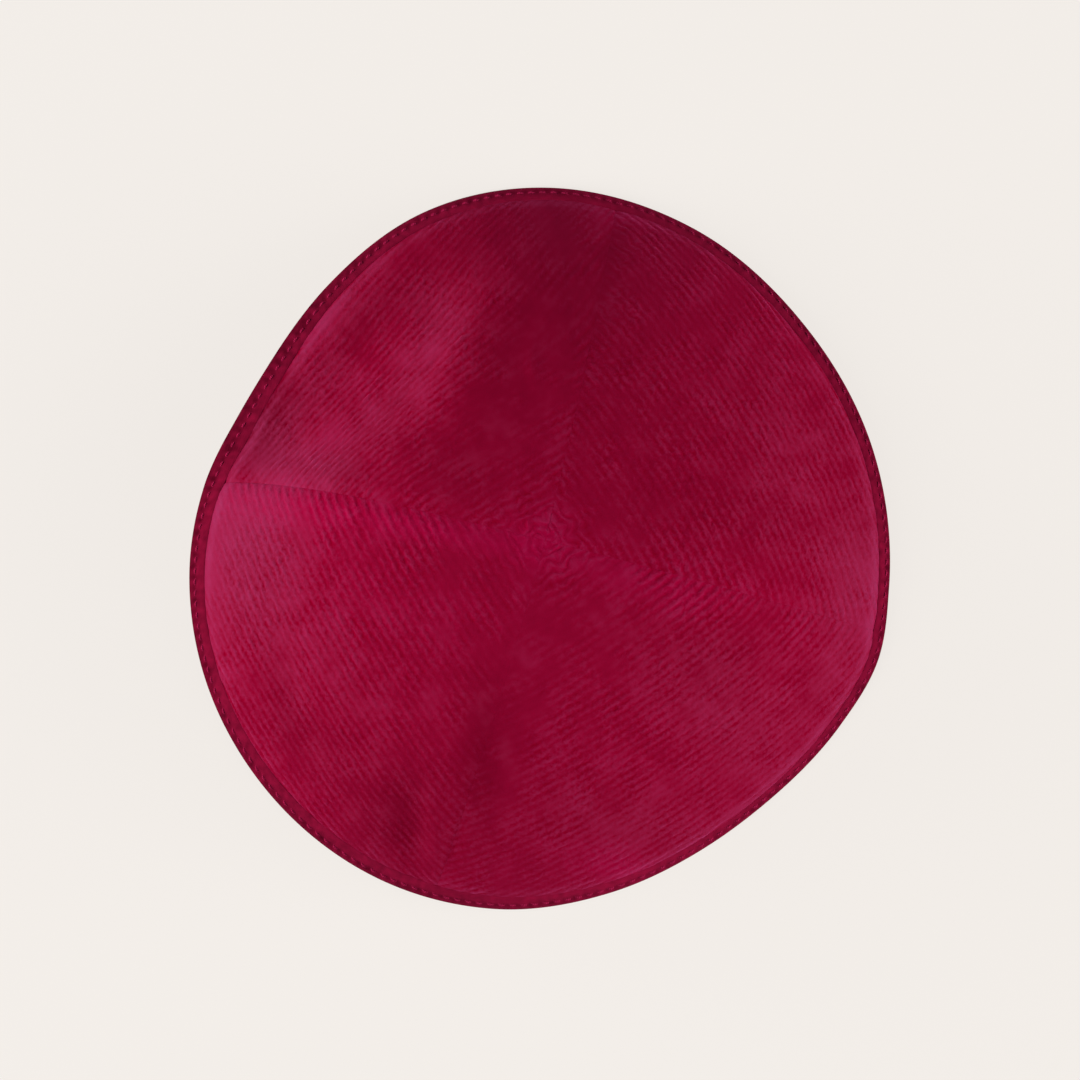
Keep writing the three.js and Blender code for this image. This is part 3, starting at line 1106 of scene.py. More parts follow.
@dataclass
class Binding:
    """The strip folded over the gores' lower edge and sewn through.

    Heights are distances up the cloth from the rim. face_low and face_high are depths of the strip's
    face below the cloth's outer face, at the rim and at its upper edge, and fold is the height that the
    folded cloth fills under the gores.
    """

    height: float = 5.7 * MM
    inner_height: float = 4.6 * MM
    leg: float = 0.5 * MM
    fold: float = 1.8 * MM
    face_low: float = -BINDING_PROUD
    face_high: float = -0.8 * MM
    roundness: float = 0.25 * MM
    inner_face: float = 1.75 * MM
    corner: float = 0.7 * MM
    squareness: float = 0.6
    inner_low: float = 1.4 * MM
    face_ends: tuple[float, float] = (0.92, 0.26)
    inner_edge_start: float = math.pi / 6
    edge_corners: int = 7
    leg_corners: int = 10
    fold_corners: int = 13
    inner_corners: int = 6
    inner_edge_corners: int = 5
    steps: int = 1020
    stitch_pitch: float = 2.65 * MM
    stitch_up: float = 3.1 * MM
    dimple: float = 0.2 * MM
    dimple_width: float = 1.1 * MM
    dimple_mean: float = 0.6
    dimple_swing: float = 0.4
    # Painted light on the strip: a base level, a rise towards its upper edge, painted shade in the
    # needle holes and random blotches
    strip_light_base: float = 0.1
    strip_light_rise: float = 0.27
    hole_shade: float = 0.2
    blotching: float = 0.2
    blotch_sizes: tuple[float, ...] = (2.4 * MM, 1.2 * MM)
    blotch_seed: int = 41
    stitch_phase: Array = field(init=False)
    stitches: int = field(init=False)

    def __post_init__(self) -> None:
        """Spaces the stitches evenly along their row."""
        azimuths = self.azimuths()
        row = self.at(azimuths, self.stitch_up, self.face_low)
        lengths = np.linalg.norm(np.diff(row, axis=0, append=row[:1]), axis=-1)
        self.stitches = round(float(lengths.sum()) / self.stitch_pitch)
        run = np.concatenate([[0.0], np.cumsum(lengths)[:-1]])
        self.stitch_phase = run / lengths.sum() * self.stitches

    def azimuths(self) -> Array:
        """The azimuths of the strip's sections."""
        return np.linspace(0.0, FULL_TURN, self.steps, endpoint=False)

    def varied(self, azimuth: Array, column: str) -> Array:
        """The sum of one column of the strip's stretches.

        Args:
            azimuth: Where the sum is wanted.
            column: The name of the stretches' field.

        Returns:
            The sum at each azimuth.
        """
        total = np.zeros_like(azimuth)
        for stretch in STRIP_STRETCHES:
            turn = turn_between(stretch.azimuth, azimuth) / stretch.half_width
            total = total + getattr(stretch, column) * np.exp(-turn * turn)
        return total

    def top(self, azimuth: Array) -> Array:
        """Height of the outer leg."""
        return self.height + self.varied(azimuth, "deeper")

    def at(self, azimuth: Array, up: Array | float, depth: Array | float) -> Array:
        """Points a distance up the cloth from the rim, at a depth below its outer face."""
        return FORM.skin(azimuth, 1 - up / FORM.meridian_length(azimuth), depth)

    def pinch(self, up: Array | float) -> Array:
        """How far the stitches pull the strip in, most at the needle holes between them.

        Args:
            up: Height at each step.

        Returns:
            The depth of the pull at each step.
        """
        near = np.exp(-(((up - self.stitch_up) / self.dimple_width) ** 2))
        pull = self.dimple_mean - self.dimple_swing * np.cos(math.tau * self.stitch_phase)
        return self.dimple * near * pull

    def face(self, up: Array | float) -> Array:
        """Depth of the outer leg's outer face.

        Args:
            up: Height at each step.

        Returns:
            The depth below the cloth's outer face, negative where it stands proud.
        """
        share = np.clip(up / self.top(self.azimuths()), 0.0, 1.0)
        rounded = self.roundness * np.sin(math.pi * share)
        return blend_between(self.face_low, self.face_high, share) - rounded + self.pinch(up)

    def section(self) -> list[Array]:
        """The strip's section at every step.

        Returns:
            The line round the hoop of each corner: down the outer leg, under the rim, up the inner leg
            and back inside the fold.
        """
        azimuth = self.azimuths()
        top, half = self.top(azimuth), self.leg / 2
        lines: list[Array] = []
        for turn in np.linspace(math.pi, 0, self.edge_corners):
            up = top - half + half * math.sin(turn)
            lines.append(self.at(azimuth, up, self.face(top) + half - half * math.cos(turn)))
        for share in np.linspace(*self.face_ends, self.leg_corners):
            lines.append(self.at(azimuth, top * share, self.face(top * share)))
        for turn in np.linspace(0, math.pi, self.fold_corners):
            depth = blend_between(self.face_low, self.inner_face, (1 - math.cos(turn)) / 2)
            height = self.corner * (1 - max(math.sin(turn), 0.0) ** self.squareness)
            lines.append(FORM.over_floor(azimuth, height, depth))
        for up in np.linspace(self.inner_low, self.inner_height - half, self.inner_corners):
            lines.append(self.at(azimuth, up, self.inner_face - self.pinch(up)))
        for turn in np.linspace(self.inner_edge_start, math.pi, self.inner_edge_corners):
            up = self.inner_height - half + half * math.sin(turn)
            lines.append(self.at(azimuth, up, self.inner_face - half + half * math.cos(turn)))
        lines.append(self.at(azimuth, self.fold, self.inner_face - self.leg))
        lines.append(self.at(azimuth, self.fold, self.face_low + self.leg))
        return lines

    def cut_size(self) -> tuple[float, float]:
        """The strip unfolded: both legs, and what lies between them.

        Returns:
            Its width and its length.
        """
        azimuth = self.azimuths()
        rim = self.at(azimuth, 0.0, self.face_low)
        around = np.linalg.norm(np.diff(rim, axis=0, append=rim[:1]), axis=-1).sum()
        outer = float(self.top(azimuth).mean())
        return outer + self.inner_face - self.face_low + self.inner_height, float(around)

    def strip_painted_light(self, points: Array) -> Array:
        """Light painted on the strip: most at its top, shade in the needle holes, and blotches.

        Args:
            points: The strip's points, step by step.

        Returns:
            From 0 for its own colour to 1 for the painted light colour.
        """
        azimuth = self.azimuths()[:, None]
        up = points[..., 2] - FORM.rim_lift(azimuth)
        share = np.clip(up / (self.height * math.sin(FORM.rim_slope)), 0.0, 1.0)
        # Painted shade in the needle holes, and painted light rising towards the upper edge
        sewn = np.exp(-(((share * self.height - self.stitch_up) / self.dimple_width) ** 2))
        holes = 0.5 - 0.5 * np.cos(math.tau * self.stitch_phase)[:, None]
        rib_wear_and_strip_light = self.strip_light_base + self.strip_light_rise * share - self.hole_shade * sewn * holes
        run = self.stitch_phase[:, None] * self.stitch_pitch
        blotches = blotched(run, up, self.blotch_sizes, self.blotch_seed)
        return np.maximum(rib_wear_and_strip_light + self.varied(azimuth, "strip_painted_light") + self.blotching * blotches, 0.0)

    def build(self) -> bpy.types.Mesh:
        """Builds the strip as one closed hoop.

        Returns:
            Its mesh, with the lie of its threads and its painted light as attributes.
        """
        points = np.stack(self.section(), axis=1)
        steps, corners = points.shape[:2]
        numbers = np.arange(steps * corners).reshape(steps, corners)
        onward, beside = np.roll(numbers, -1, axis=0), np.roll(numbers, -1, axis=1)
        diagonal = np.roll(onward, -1, axis=1)
        quads = (numbers, beside, diagonal, onward)
        faces = list(zip(*(quad.ravel().tolist() for quad in quads)))
        mesh = build_mesh("binding", points.reshape(-1, 3), faces)
        along = np.broadcast_to(self.stitch_phase[:, None] * self.stitch_pitch, (steps, corners))
        spans = np.linalg.norm(np.diff(points, axis=1, prepend=points[:, :1]), axis=-1)
        lay = np.stack([along, np.cumsum(spans, axis=1), np.zeros_like(along)], axis=-1)
        store(mesh, "cloth", "FLOAT_VECTOR", lay)
        store(mesh, "strip_painted_light", "FLOAT", self.strip_painted_light(points))
        return mesh

    def stitch_row(self, inside: bool) -> tuple[Array, Array]:
        """The line that a row of stitches follows.

        Args:
            inside: Whether it is the row on the inner leg.

        Returns:
            Its points, and the direction out of the cloth at each.
        """
        azimuth = self.azimuths()
        up = np.full_like(azimuth, self.stitch_up)
        pulled = self.pinch(up)
        out = FORM.outward(azimuth, 1 - up / FORM.meridian_length(azimuth))
        if inside:
            return self.at(azimuth, up, self.inner_face - pulled), -out
        return self.at(azimuth, up, self.face(up)), out

    def dress(self, material: bpy.types.Material, thread: bpy.types.Material) -> list[bpy.types.Object]:
        """Shows the strip and its stitches, in place of its plain solid.

        Args:
            material: The strip's cloth.
            thread: The stitches' thread.

        Returns:
            The strip and its two rows of stitches.
        """
        strip = show(self.build(), [material])
        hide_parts("edge_binding")
        flat = self.cut_size()
        log.info("%s cut: %.1f x %.1f mm", strip.name, flat[0] / MM, flat[1] / MM)
        pieces = [strip]
        for name, inside in (("topstitch_outer", False), ("topstitch_inner", True)):
            line, out = self.stitch_row(inside)
            pieces.append(Topstitch(name, self.stitches).build(line, out, thread))
        for piece in pieces:
            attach(piece, "root")
        return pieces


@dataclass(frozen=True)
class Topstitch:
    """A row of short slanted lockstitches in thick thread.

    sink, crest and taper are in thread widths: how far a stitch's ends dive into the cloth, how high
    its arch is drawn up, and how much thinner it gets towards its ends.
    """

    name: str
    stitches: int
    length: float = 2.0 * MM
    thread: float = 0.64 * MM
    slant: float = math.radians(-13)
    wander: float = math.radians(5)
    seed: int = 7
    sink: float = 0.55
    crest: float = 0.8
    taper: float = 1.6
    sides: int = 6

    def tree(self) -> tuple[bpy.types.NodeTree, dict[str, str]]:
        """Builds the node tree that lays one stitch at each place along a line.

        Returns:
            The tree, and the identifier of each named input.
        """
        tree = bpy.data.node_groups.new(f"{self.name}_row", "GeometryNodeTree")
        kinds = {
            "Geometry": "Geometry",
            "Stitches": "Int",
            "Stitch Length": "Float",
            "Thread": "Float",
            "Slant": "Float",
            "Wander": "Float",
            "Seed": "Int",
            "Material": "Material",
        }
        names = {}
        for label, kind in kinds.items():
            socket = tree.interface.new_socket(label, in_out="INPUT", socket_type=f"NodeSocket{kind}")
            names[label] = socket.identifier
        tree.interface.new_socket("Geometry", in_out="OUTPUT", socket_type="NodeSocketGeometry")
        given = add_node(tree, "NodeGroupInput").outputs
        line = add_node(tree, "GeometryNodeMeshToCurve", {"Mesh": given["Geometry"]})
        places = add_node(
            tree,
            "GeometryNodeResampleCurve",
            {"Curve": line.outputs["Curve"], "Count": given["Stitches"]},
            mode="COUNT",
        )
        laid = add_node(
            tree,
            "GeometryNodeInstanceOnPoints",
            {
                "Points": places.outputs["Curve"],
                "Instance": self._stitch(tree, given),
                "Rotation": self._turned(tree, given),
            },
        )
        real = add_node(tree, "GeometryNodeRealizeInstances", {"Geometry": laid.outputs["Instances"]})
        dressed = add_node(
            tree,
            "GeometryNodeSetMaterial",
            {"Geometry": real.outputs["Geometry"], "Material": given["Material"]},
        )
        add_node(tree, "NodeGroupOutput", {"Geometry": dressed.outputs["Geometry"]})
        return tree, names

    def _stitch(self, tree: bpy.types.NodeTree, given: Any) -> bpy.types.NodeSocket:
        """Adds one arched stitch that tapers into the cloth at both ends.

        Args:
            tree: The node tree.
            given: The tree's inputs.

        Returns:
            The stitch's mesh socket.
        """
        thread, length = given["Thread"], given["Stitch Length"]
        half = add_node(tree, "ShaderNodeMath", {0: length, 1: 0.5}, operation="MULTIPLY").outputs[0]
        back = add_node(tree, "ShaderNodeMath", {0: half, 1: -1.0}, operation="MULTIPLY").outputs[0]
        sunk = add_node(tree, "ShaderNodeMath", {0: thread, 1: -self.sink}, operation="MULTIPLY")
        crest = add_node(tree, "ShaderNodeMath", {0: thread, 1: self.crest}, operation="MULTIPLY")
        start = add_node(tree, "ShaderNodeCombineXYZ", {"X": back, "Z": sunk.outputs[0]})
        middle = add_node(tree, "ShaderNodeCombineXYZ", {"Z": crest.outputs[0]})
        end = add_node(tree, "ShaderNodeCombineXYZ", {"X": half, "Z": sunk.outputs[0]})
        arch = add_node(
            tree,
            "GeometryNodeCurveQuadraticBezier",
            {
                "Resolution": self.sides,
                "Start": start.outputs[0],
                "Middle": middle.outputs[0],
                "End": end.outputs[0],
            },
        )
        place = add_node(tree, "GeometryNodeSplineParameter").outputs["Factor"]
        kept = add_node(
            tree,
            "GeometryNodeStoreNamedAttribute",
            {"Geometry": arch.outputs["Curve"], "Name": "strand_along", "Value": place},
            data_type="FLOAT",
            domain="POINT",
        )
        off = add_node(tree, "ShaderNodeMath", {0: place, 1: 0.5}, operation="SUBTRACT").outputs[0]
        square = add_node(tree, "ShaderNodeMath", {0: off, 1: off}, operation="MULTIPLY").outputs[0]
        taper = add_node(
            tree, "ShaderNodeMath", {0: square, 1: -self.taper, 2: 0.5}, operation="MULTIPLY_ADD"
        )
        radius = add_node(
            tree, "ShaderNodeMath", {0: taper.outputs[0], 1: thread}, operation="MULTIPLY"
        )
        ring = add_node(
            tree, "GeometryNodeCurvePrimitiveCircle", {"Resolution": self.sides, "Radius": 1.0}
        )
        around = add_node(
            tree,
            "GeometryNodeStoreNamedAttribute",
            {"Geometry": ring.outputs["Curve"], "Name": "strand_around", "Value": place},
            data_type="FLOAT",
            domain="POINT",
        )
        drawn = add_node(
            tree,
            "GeometryNodeCurveToMesh",
            {
                "Curve": kept.outputs["Geometry"],
                "Profile Curve": around.outputs["Geometry"],
                "Scale": radius.outputs[0],
                "Fill Caps": True,
            },
        )
        return drawn.outputs["Mesh"]

    def _turned(self, tree: bpy.types.NodeTree, given: Any) -> bpy.types.NodeSocket:
        """Turns each stitch along the row and flat on the cloth, slanted and a little uneven.

        Args:
            tree: The node tree.
            given: The tree's inputs.

        Returns:
            The rotation socket.
        """
        tangent = add_node(tree, "GeometryNodeInputTangent").outputs["Tangent"]
        out = add_node(
            tree, "GeometryNodeInputNamedAttribute", {"Name": "out"}, data_type="FLOAT_VECTOR"
        )
        along = add_node(tree, "FunctionNodeAlignRotationToVector", {"Vector": tangent}, axis="X")
        flat = add_node(
            tree,
            "FunctionNodeAlignRotationToVector",
            {"Rotation": along.outputs["Rotation"], "Vector": out.outputs["Attribute"]},
            axis="Z",
            pivot_axis="X",
        )
        spread = add_node(
            tree,
            "FunctionNodeRandomValue",
            {"Min": -1.0, "Max": 1.0, "Seed": given["Seed"]},
            data_type="FLOAT",
        )
        angle = add_node(
            tree,
            "ShaderNodeMath",
            {0: spread.outputs[1], 1: given["Wander"], 2: given["Slant"]},
            operation="MULTIPLY_ADD",
        )
        turn = add_node(
            tree,
            "FunctionNodeAxisAngleToRotation",
            {"Axis": (0.0, 0.0, 1.0), "Angle": angle.outputs[0]},
        )
        slanted = add_node(
            tree,
            "FunctionNodeRotateRotation",
            {"Rotation": flat.outputs["Rotation"], "Rotate By": turn.outputs["Rotation"]},
            rotation_space="LOCAL",
        )
        return slanted.outputs["Rotation"]

    def build(self, line: Array, out: Array, thread: bpy.types.Material) -> bpy.types.Object:
        """Sews the row along a closed line.

        Args:
            line: The points of the line.
            out: The direction out of the cloth at each point.
            thread: The thread's material.

        Returns:
            The stitches as one plain mesh.
        """
        count = len(line)
        path = bpy.data.meshes.new(f"{self.name}_line")
        path.from_pydata(line.tolist(), [(step, (step + 1) % count) for step in range(count)], [])
        store(path, "out", "FLOAT_VECTOR", out)
        guide = bpy.data.objects.new(f"{self.name}_line", path)
        bpy.context.scene.collection.objects.link(guide)
        tree, names = self.tree()
        modifier = guide.modifiers.new("stitches", "NODES")
        modifier.node_group = tree
        modifier[names["Stitches"]] = self.stitches
        modifier[names["Stitch Length"]] = self.length
        modifier[names["Thread"]] = self.thread
        modifier[names["Slant"]] = self.slant
        modifier[names["Wander"]] = self.wander
        modifier[names["Seed"]] = self.seed
        modifier[names["Material"]] = thread
        graph = bpy.context.evaluated_depsgraph_get()
        mesh = bpy.data.meshes.new_from_object(guide.evaluated_get(graph), depsgraph=graph)
        bpy.data.objects.remove(guide)
        mesh.name = self.name
        mesh.shade_smooth()
        mesh.materials.clear()
        mesh.polygons.foreach_set("material_index", [0] * len(mesh.polygons))
        return show(mesh, [thread])


class Side(Enum):
    """The two sides of the ribbed cloth, as places in a gore's list of materials."""

    RIGHT = 0
    WRONG = 1


@dataclass
class GorePanel:
    """One gore of ribbed pile cloth, as a closed wall with its ribs in relief.

    A pair of numbers says where something starts and where it is complete, as shares of the way to the
    rim, as distances from a seam, or as distances up the cloth past the binding's upper edge.
    """

    gore: Gore
    binding: Binding
    cloth: RibbedPile
    rows: int = 300
    columns: int = 180
    rows_each: int = 4
    columns_each: int = 3
    crowding: float = 0.75
    tip: float = 1e-4
    wall: float = 1.2 * MM
    hem: float = 2.1 * MM
    join: float = 0.008 * MM
    lap: float = 0.3 * MM
    lap_radius: float = 1.2 * MM
    rib_height: float = 0.19 * MM
    rib_ease: float = 0.7
    rib_start: tuple[float, float] = (-0.6 * MM, 0.8 * MM)
    early_bow: float = 0.66
    askew: tuple[float, float] = (0.35, 0.8)
    drift: float = 0.24 * MM
    drift_size: float = 7 * MM
    ruffle: float = 1.1 * MM
    ruffle_size: float = 3 * MM
    wear_mean: float = 0.85
    wear_swing: float = 0.9
    wear_size: float = 1.3 * MM
    wear_stretch: float = 1.6
    wear_seed: int = 3
    pressing: float = 0.8
    pressing_sizes: tuple[float, ...] = (6 * MM,)
    least_raised: float = 0.12
    mottle_light: float = 0.09
    mottle_bloom: float = 0.1
    mottle_sizes: tuple[float, ...] = (2 * MM, 4 * MM, 7 * MM)
    handling_seed: int = 20
    tuck_width: float = 0.4 * MM
    tuck_start: tuple[float, float] = (0.4, 0.75)
    seam_press: float = 0.5 * MM
    filling: float = 0.62 * MM
    filling_start: tuple[float, float] = (-4 * MM, -2 * MM)
    swell: float = 0.3 * MM
    swell_start: tuple[float, float] = (0.0, 3.5 * MM)
    swell_fade: float = 11 * MM
    # Painted shade in the crease beside the binding
    crease_shade: float = 0.05
    crease_width: float = 0.8 * MM
    # A painted highlight, lighter and pinker, along the rolled cloth just above the binding
    roll_highlight: float = 0.35
    roll_highlight_lift: float = 0.3
    roll_highlight_azimuth: float = 150.0
    roll_highlight_up: float = 1.8 * MM
    roll_highlight_width: float = 1.4 * MM
    allowance: float = 7 * MM
    allowance_height: float = 0.5 * MM
    allowance_edge: float = 0.6 * MM
    allowance_side: tuple[float, float] = (-0.3 * MM, 0.5 * MM)
    allowance_end: tuple[float, float] = (0.4 * MM, 3 * MM)

    def grid(self) -> tuple[Array, Array]:
        """Lays the outer face's points in rows round the crown, crowded towards the seams.

        Returns:
            Azimuth and share at each row and column.
        """
        rows = np.linspace(0.0, 1.0, self.rows + 1)[:, None]
        even = np.linspace(0.0, 1.0, self.columns + 1)[None, :]
        columns = blend_between(even, (1 - np.cos(math.pi * even)) / 2, self.crowding)
        start, width = self.gore.span(rows)
        length = FORM.meridian_length(start + width * columns)
        share = blend_between(0.0, 1 - self.hem / length, rows)
        radius = np.maximum(FORM.plan_radius(start + width / 2, share), self.join)
        margin = np.degrees(self.join / 2 / radius)
        return start + blend_between(margin, width - margin, columns), share

    def cloth_run(self, azimuth: Array, share: Array) -> tuple[Array, Array]:
        """Distances along and across the ribs, which bow gently round the crown.

        Args:
            azimuth: Direction from the crown at each point.
            share: How far down from the crown.

        Returns:
            The distance along the ribs and the distance across them.
        """
        start, width = self.gore.span(share)
        turned = np.radians(azimuth - start - width / 2)
        bow = 1 - (1 - self.gore.rib_bow) * share * (1 + self.early_bow * (1 - share))
        arc = share * FORM.meridian_length(azimuth)
        across = arc * (1 - bow * (1 - np.cos(turned)))
        along = arc * np.sin(turned)
        drift = self.drift * wander(along, across, self.drift_size, self.gore.seed)
        tufts = self.ruffle * wander(along, across, self.ruffle_size, self.gore.seed + 1)
        ruffled = tufts * self.marked(azimuth, share, "ruffled")
        askew = blend_between(self.gore.crown_turn, self.gore.rim_turn, ease(share, *self.askew))
        return along, across + drift + ruffled + along * np.tan(np.radians(askew))

    def marked(self, azimuth: Array, share: Array, column: str) -> Array:
        """The sum of one column of the gore's marks of brushed pile and painted light, shade and sheen.

        Args:
            azimuth: Direction from the crown at each point.
            share: How far down from the crown.
            column: The name of the marks' field.

        Returns:
            The sum at each point.
        """
        x, y = FORM.plan_point(azimuth, share)
        total = np.zeros_like(x)
        for mark in self.gore.marks:
            total = total + getattr(mark, column) * mark.share_at(x, y)
        return total

    def settled(self, azimuth: Array, share: Array, sizes: tuple[float, ...]) -> Array:
        """How unevenly handling has left the pile.

        Args:
            azimuth: Direction from the crown at each point.
            share: How far down from the crown.
            sizes: The sizes of the patches.

        Returns:
            The sum of smooth noise of each size, the same on both sides of a seam.
        """
        x, y = FORM.plan_point(azimuth, share)
        return blotched(x, y, sizes, self.handling_seed)

    def raised(self, azimuth: Array, share: Array) -> Array:
        """How far the ribs stand up: about 1, and nearly 0 where the pile is pressed flat."""
        uneven = self.pressing * self.settled(azimuth, share, self.pressing_sizes)
        return np.maximum(1 - self.marked(azimuth, share, "flat") + uneven, self.least_raised)

    def past_binding(self, azimuth: Array, share: Array) -> Array:
        """Distance up the cloth past the binding's upper edge."""
        return (1 - share) * FORM.meridian_length(azimuth) - self.binding.top(azimuth)

    def outer_depth(self, azimuth: Array, share: Array, along: Array, across: Array) -> Array:
        """Depth of the ribbed outer face below the smooth form.

        Args:
            azimuth: Direction from the crown at each point.
            share: How far down from the crown.
            along: Distance along the ribs.
            across: Distance across the ribs.

        Returns:
            The depth, negative where the face stands proud.
        """
        radius = FORM.plan_radius(azimuth, share)
        to_seam = FORM.to_seam(azimuth, share, radius)
        tucked = np.zeros_like(to_seam)
        for seam in (self.gore.start, self.gore.end):
            beside = radius * np.radians(np.abs(turn_between(seam.azimuth(share), azimuth)))
            line = np.exp(-beside / self.tuck_width) * ease(share, *self.tuck_start)
            tucked = tucked + seam.value.tuck * line
        past = self.past_binding(azimuth, share)
        swollen = self.filling * ease(past, *self.filling_start)
        swollen = swollen + self.swell * ease(past, *self.swell_start)
        swollen = swollen * np.exp(-np.maximum(past, 0) / self.swell_fade)
        wave = (0.5 + 0.5 * np.cos(math.tau * across / self.cloth.rib_pitch)) ** self.rib_ease
        patchy = wander(along / self.wear_stretch, across, self.wear_size, self.wear_seed)
        rib_wear_and_strip_light = self.wear_mean + self.wear_swing * patchy
        free = self.raised(azimuth, share) * ease(past, *self.rib_start)
        free = free * (1 - np.exp(-to_seam / self.seam_press))
        return tucked - swollen - self.rib_height * wave * rib_wear_and_strip_light * free

    def inner_depth(self, azimuth: Array, share: Array) -> Array:
        """Depth of the plain inner face, thicker where the seam allowances are pressed open.

        Args:
            azimuth: Direction from the crown at each point.
            share: How far down from the crown.

        Returns:
            The depth below the smooth form.
        """
        to_seam = FORM.to_seam(azimuth, share, FORM.plan_radius(azimuth, share))
        edge = (self.allowance - self.allowance_edge, self.allowance + self.allowance_edge)
        past = (1 - share) * FORM.meridian_length(azimuth) - self.binding.inner_height
        folded = (1 - ease(to_seam, *edge)) * ease(to_seam, *self.allowance_side)
        return self.wall + self.allowance_height * folded * ease(past, *self.allowance_end)

    def inner_skin(self, azimuth: Array, share: Array) -> Array:
        """The inner face, turned a little so that it laps over the next gore's under the seam.

        Args:
            azimuth: Direction from the crown at each point.
            share: How far down from the crown.

        Returns:
            Points, with x, y and z along the last axis.
        """
        reach = np.maximum(FORM.plan_radius(azimuth, share), self.lap_radius)
        lapped = azimuth + np.degrees(self.lap / reach)
        return FORM.skin(lapped, share, self.inner_depth(azimuth, share))

    def looks(self, azimuth: Array, share: Array) -> dict[str, Array]:
        """The painted light, shade and sheen of the pile, and how raised it is.

        Args:
            azimuth: Direction from the crown at each point.
            share: How far down from the crown.

        Returns:
            The values at each point, by the name of the attribute that the cloth's material reads.
        """
        past = self.past_binding(azimuth, share)
        # Painted shade in the crease beside the binding
        crease = self.crease_shade * np.exp(-((past / self.crease_width) ** 2))
        # A painted highlight along the rolled cloth just above the binding, strongest on two opposite
        # sides
        roll_highlight = self.roll_highlight * np.cos(np.radians(azimuth - self.roll_highlight_azimuth)) ** 2
        roll_highlight = roll_highlight * np.exp(-(((past - self.roll_highlight_up) / self.roll_highlight_width) ** 2))
        mottled = self.settled(azimuth, share, self.mottle_sizes)
        lighter = self.marked(azimuth, share, "light") - crease + self.roll_highlight_lift * roll_highlight
        pinker = self.marked(azimuth, share, "bloom") + roll_highlight
        return {
            "light_shade_and_tone": lighter + self.mottle_light * mottled,
            "bloom": pinker + self.mottle_bloom * mottled,
            "raised": self.raised(azimuth, share),
        }

    def build(self) -> bpy.types.Mesh:
        """Builds the closed wall: a fine ribbed outside, a coarser inside and walls along its edges.

        Returns:
            Its mesh, with the lie of its ribs and the looks of its pile as attributes.
        """
        azimuth, share = self.grid()
        share[0, :] = self.tip
        along, across = self.cloth_run(azimuth, share)
        rows = np.arange(0, self.rows + 1, self.rows_each)
        columns = np.arange(0, self.columns + 1, self.columns_each)
        coarse = np.ix_(rows, columns)
        outer = FORM.skin(azimuth, share, self.outer_depth(azimuth, share, along, across))
        inner = self.inner_skin(azimuth[coarse], share[coarse])
        for layer in (outer, inner):
            layer[0, :] = layer[0].mean(axis=0)
        out = self._numbered(outer.shape[:2], 0)
        inn = self._numbered(inner.shape[:2], int(out.max()) + 1)
        points = np.concatenate([self._kept(outer), self._kept(inner)])
        ribbed = self._skin_faces(out)
        plain = [face[::-1] for face in self._skin_faces(inn)] + self._edge_faces(out, inn)
        mesh = build_mesh(f"gore_{self.gore.name}", points, ribbed + plain)
        sides = [Side.RIGHT.value] * len(ribbed) + [Side.WRONG.value] * len(plain)
        mesh.polygons.foreach_set("material_index", sides)
        lay = np.stack([along, across, np.zeros_like(along)], axis=-1)
        layers = [self._kept(lay), self._kept(lay[coarse])]
        store(mesh, "cloth", "FLOAT_VECTOR", np.concatenate(layers))
        for name, values in self.looks(azimuth, share).items():
            layers = [self._kept(layer[..., None]) for layer in (values, values[coarse])]
            store(mesh, name, "FLOAT", np.concatenate(layers))
        return mesh

    def _numbered(self, shape: tuple[int, int], first: int) -> npt.NDArray[np.int64]:
        """Numbers the points of a layer whose first row is one point at the crown.

        Args:
            shape: The layer's rows and columns.
            first: The number of its first point.

        Returns:
            The point number at each row and column.
        """
        numbers = np.arange(shape[0] * shape[1]).reshape(shape) - shape[1] + 1 + first
        numbers[0, :] = first
        return numbers

    def _kept(self, layer: Array) -> Array:
        """The points of a layer, with its first row as one point."""
        return np.concatenate([layer[:1, 0], layer[1:].reshape(-1, layer.shape[-1])])

    def _skin_faces(self, numbers: npt.NDArray[np.int64]) -> list[tuple[int, ...]]:
        """Joins the points of one layer, seen from its outer side.

        Args:
            numbers: The layer's point numbers.

        Returns:
            Its faces, those at the crown first.
        """
        top = [(numbers[0, 0], a, b) for a, b in zip(numbers[1, :-1], numbers[1, 1:])]
        corners = (numbers[1:-1, :-1], numbers[2:, :-1], numbers[2:, 1:], numbers[1:-1, 1:])
        return top + list(zip(*(corner.ravel().tolist() for corner in corners)))

    def _edge_faces(
        self, out: npt.NDArray[np.int64], inn: npt.NDArray[np.int64]
    ) -> list[tuple[int, ...]]:
        """Walls between the two layers along both seams and the lower edge.

        Args:
            out: Point numbers of the outer layer.
            inn: Point numbers of the inner layer.

        Returns:
            One face for each step of the inner layer.
        """
        faces: list[tuple[int, ...]] = []
        for step in range(inn.shape[0] - 1):
            fine = slice(step * self.rows_each, (step + 1) * self.rows_each + 1)
            faces.append((*out[fine, 0][::-1], inn[step, 0], inn[step + 1, 0]))
            faces.append((*out[fine, -1], inn[step + 1, -1], inn[step, -1]))
        for step in range(inn.shape[1] - 1):
            fine = slice(step * self.columns_each, (step + 1) * self.columns_each + 1)
            faces.append((*out[-1, fine][::-1], inn[-1, step], inn[-1, step + 1]))
        return [tuple(int(number) for number in face) for face in faces]

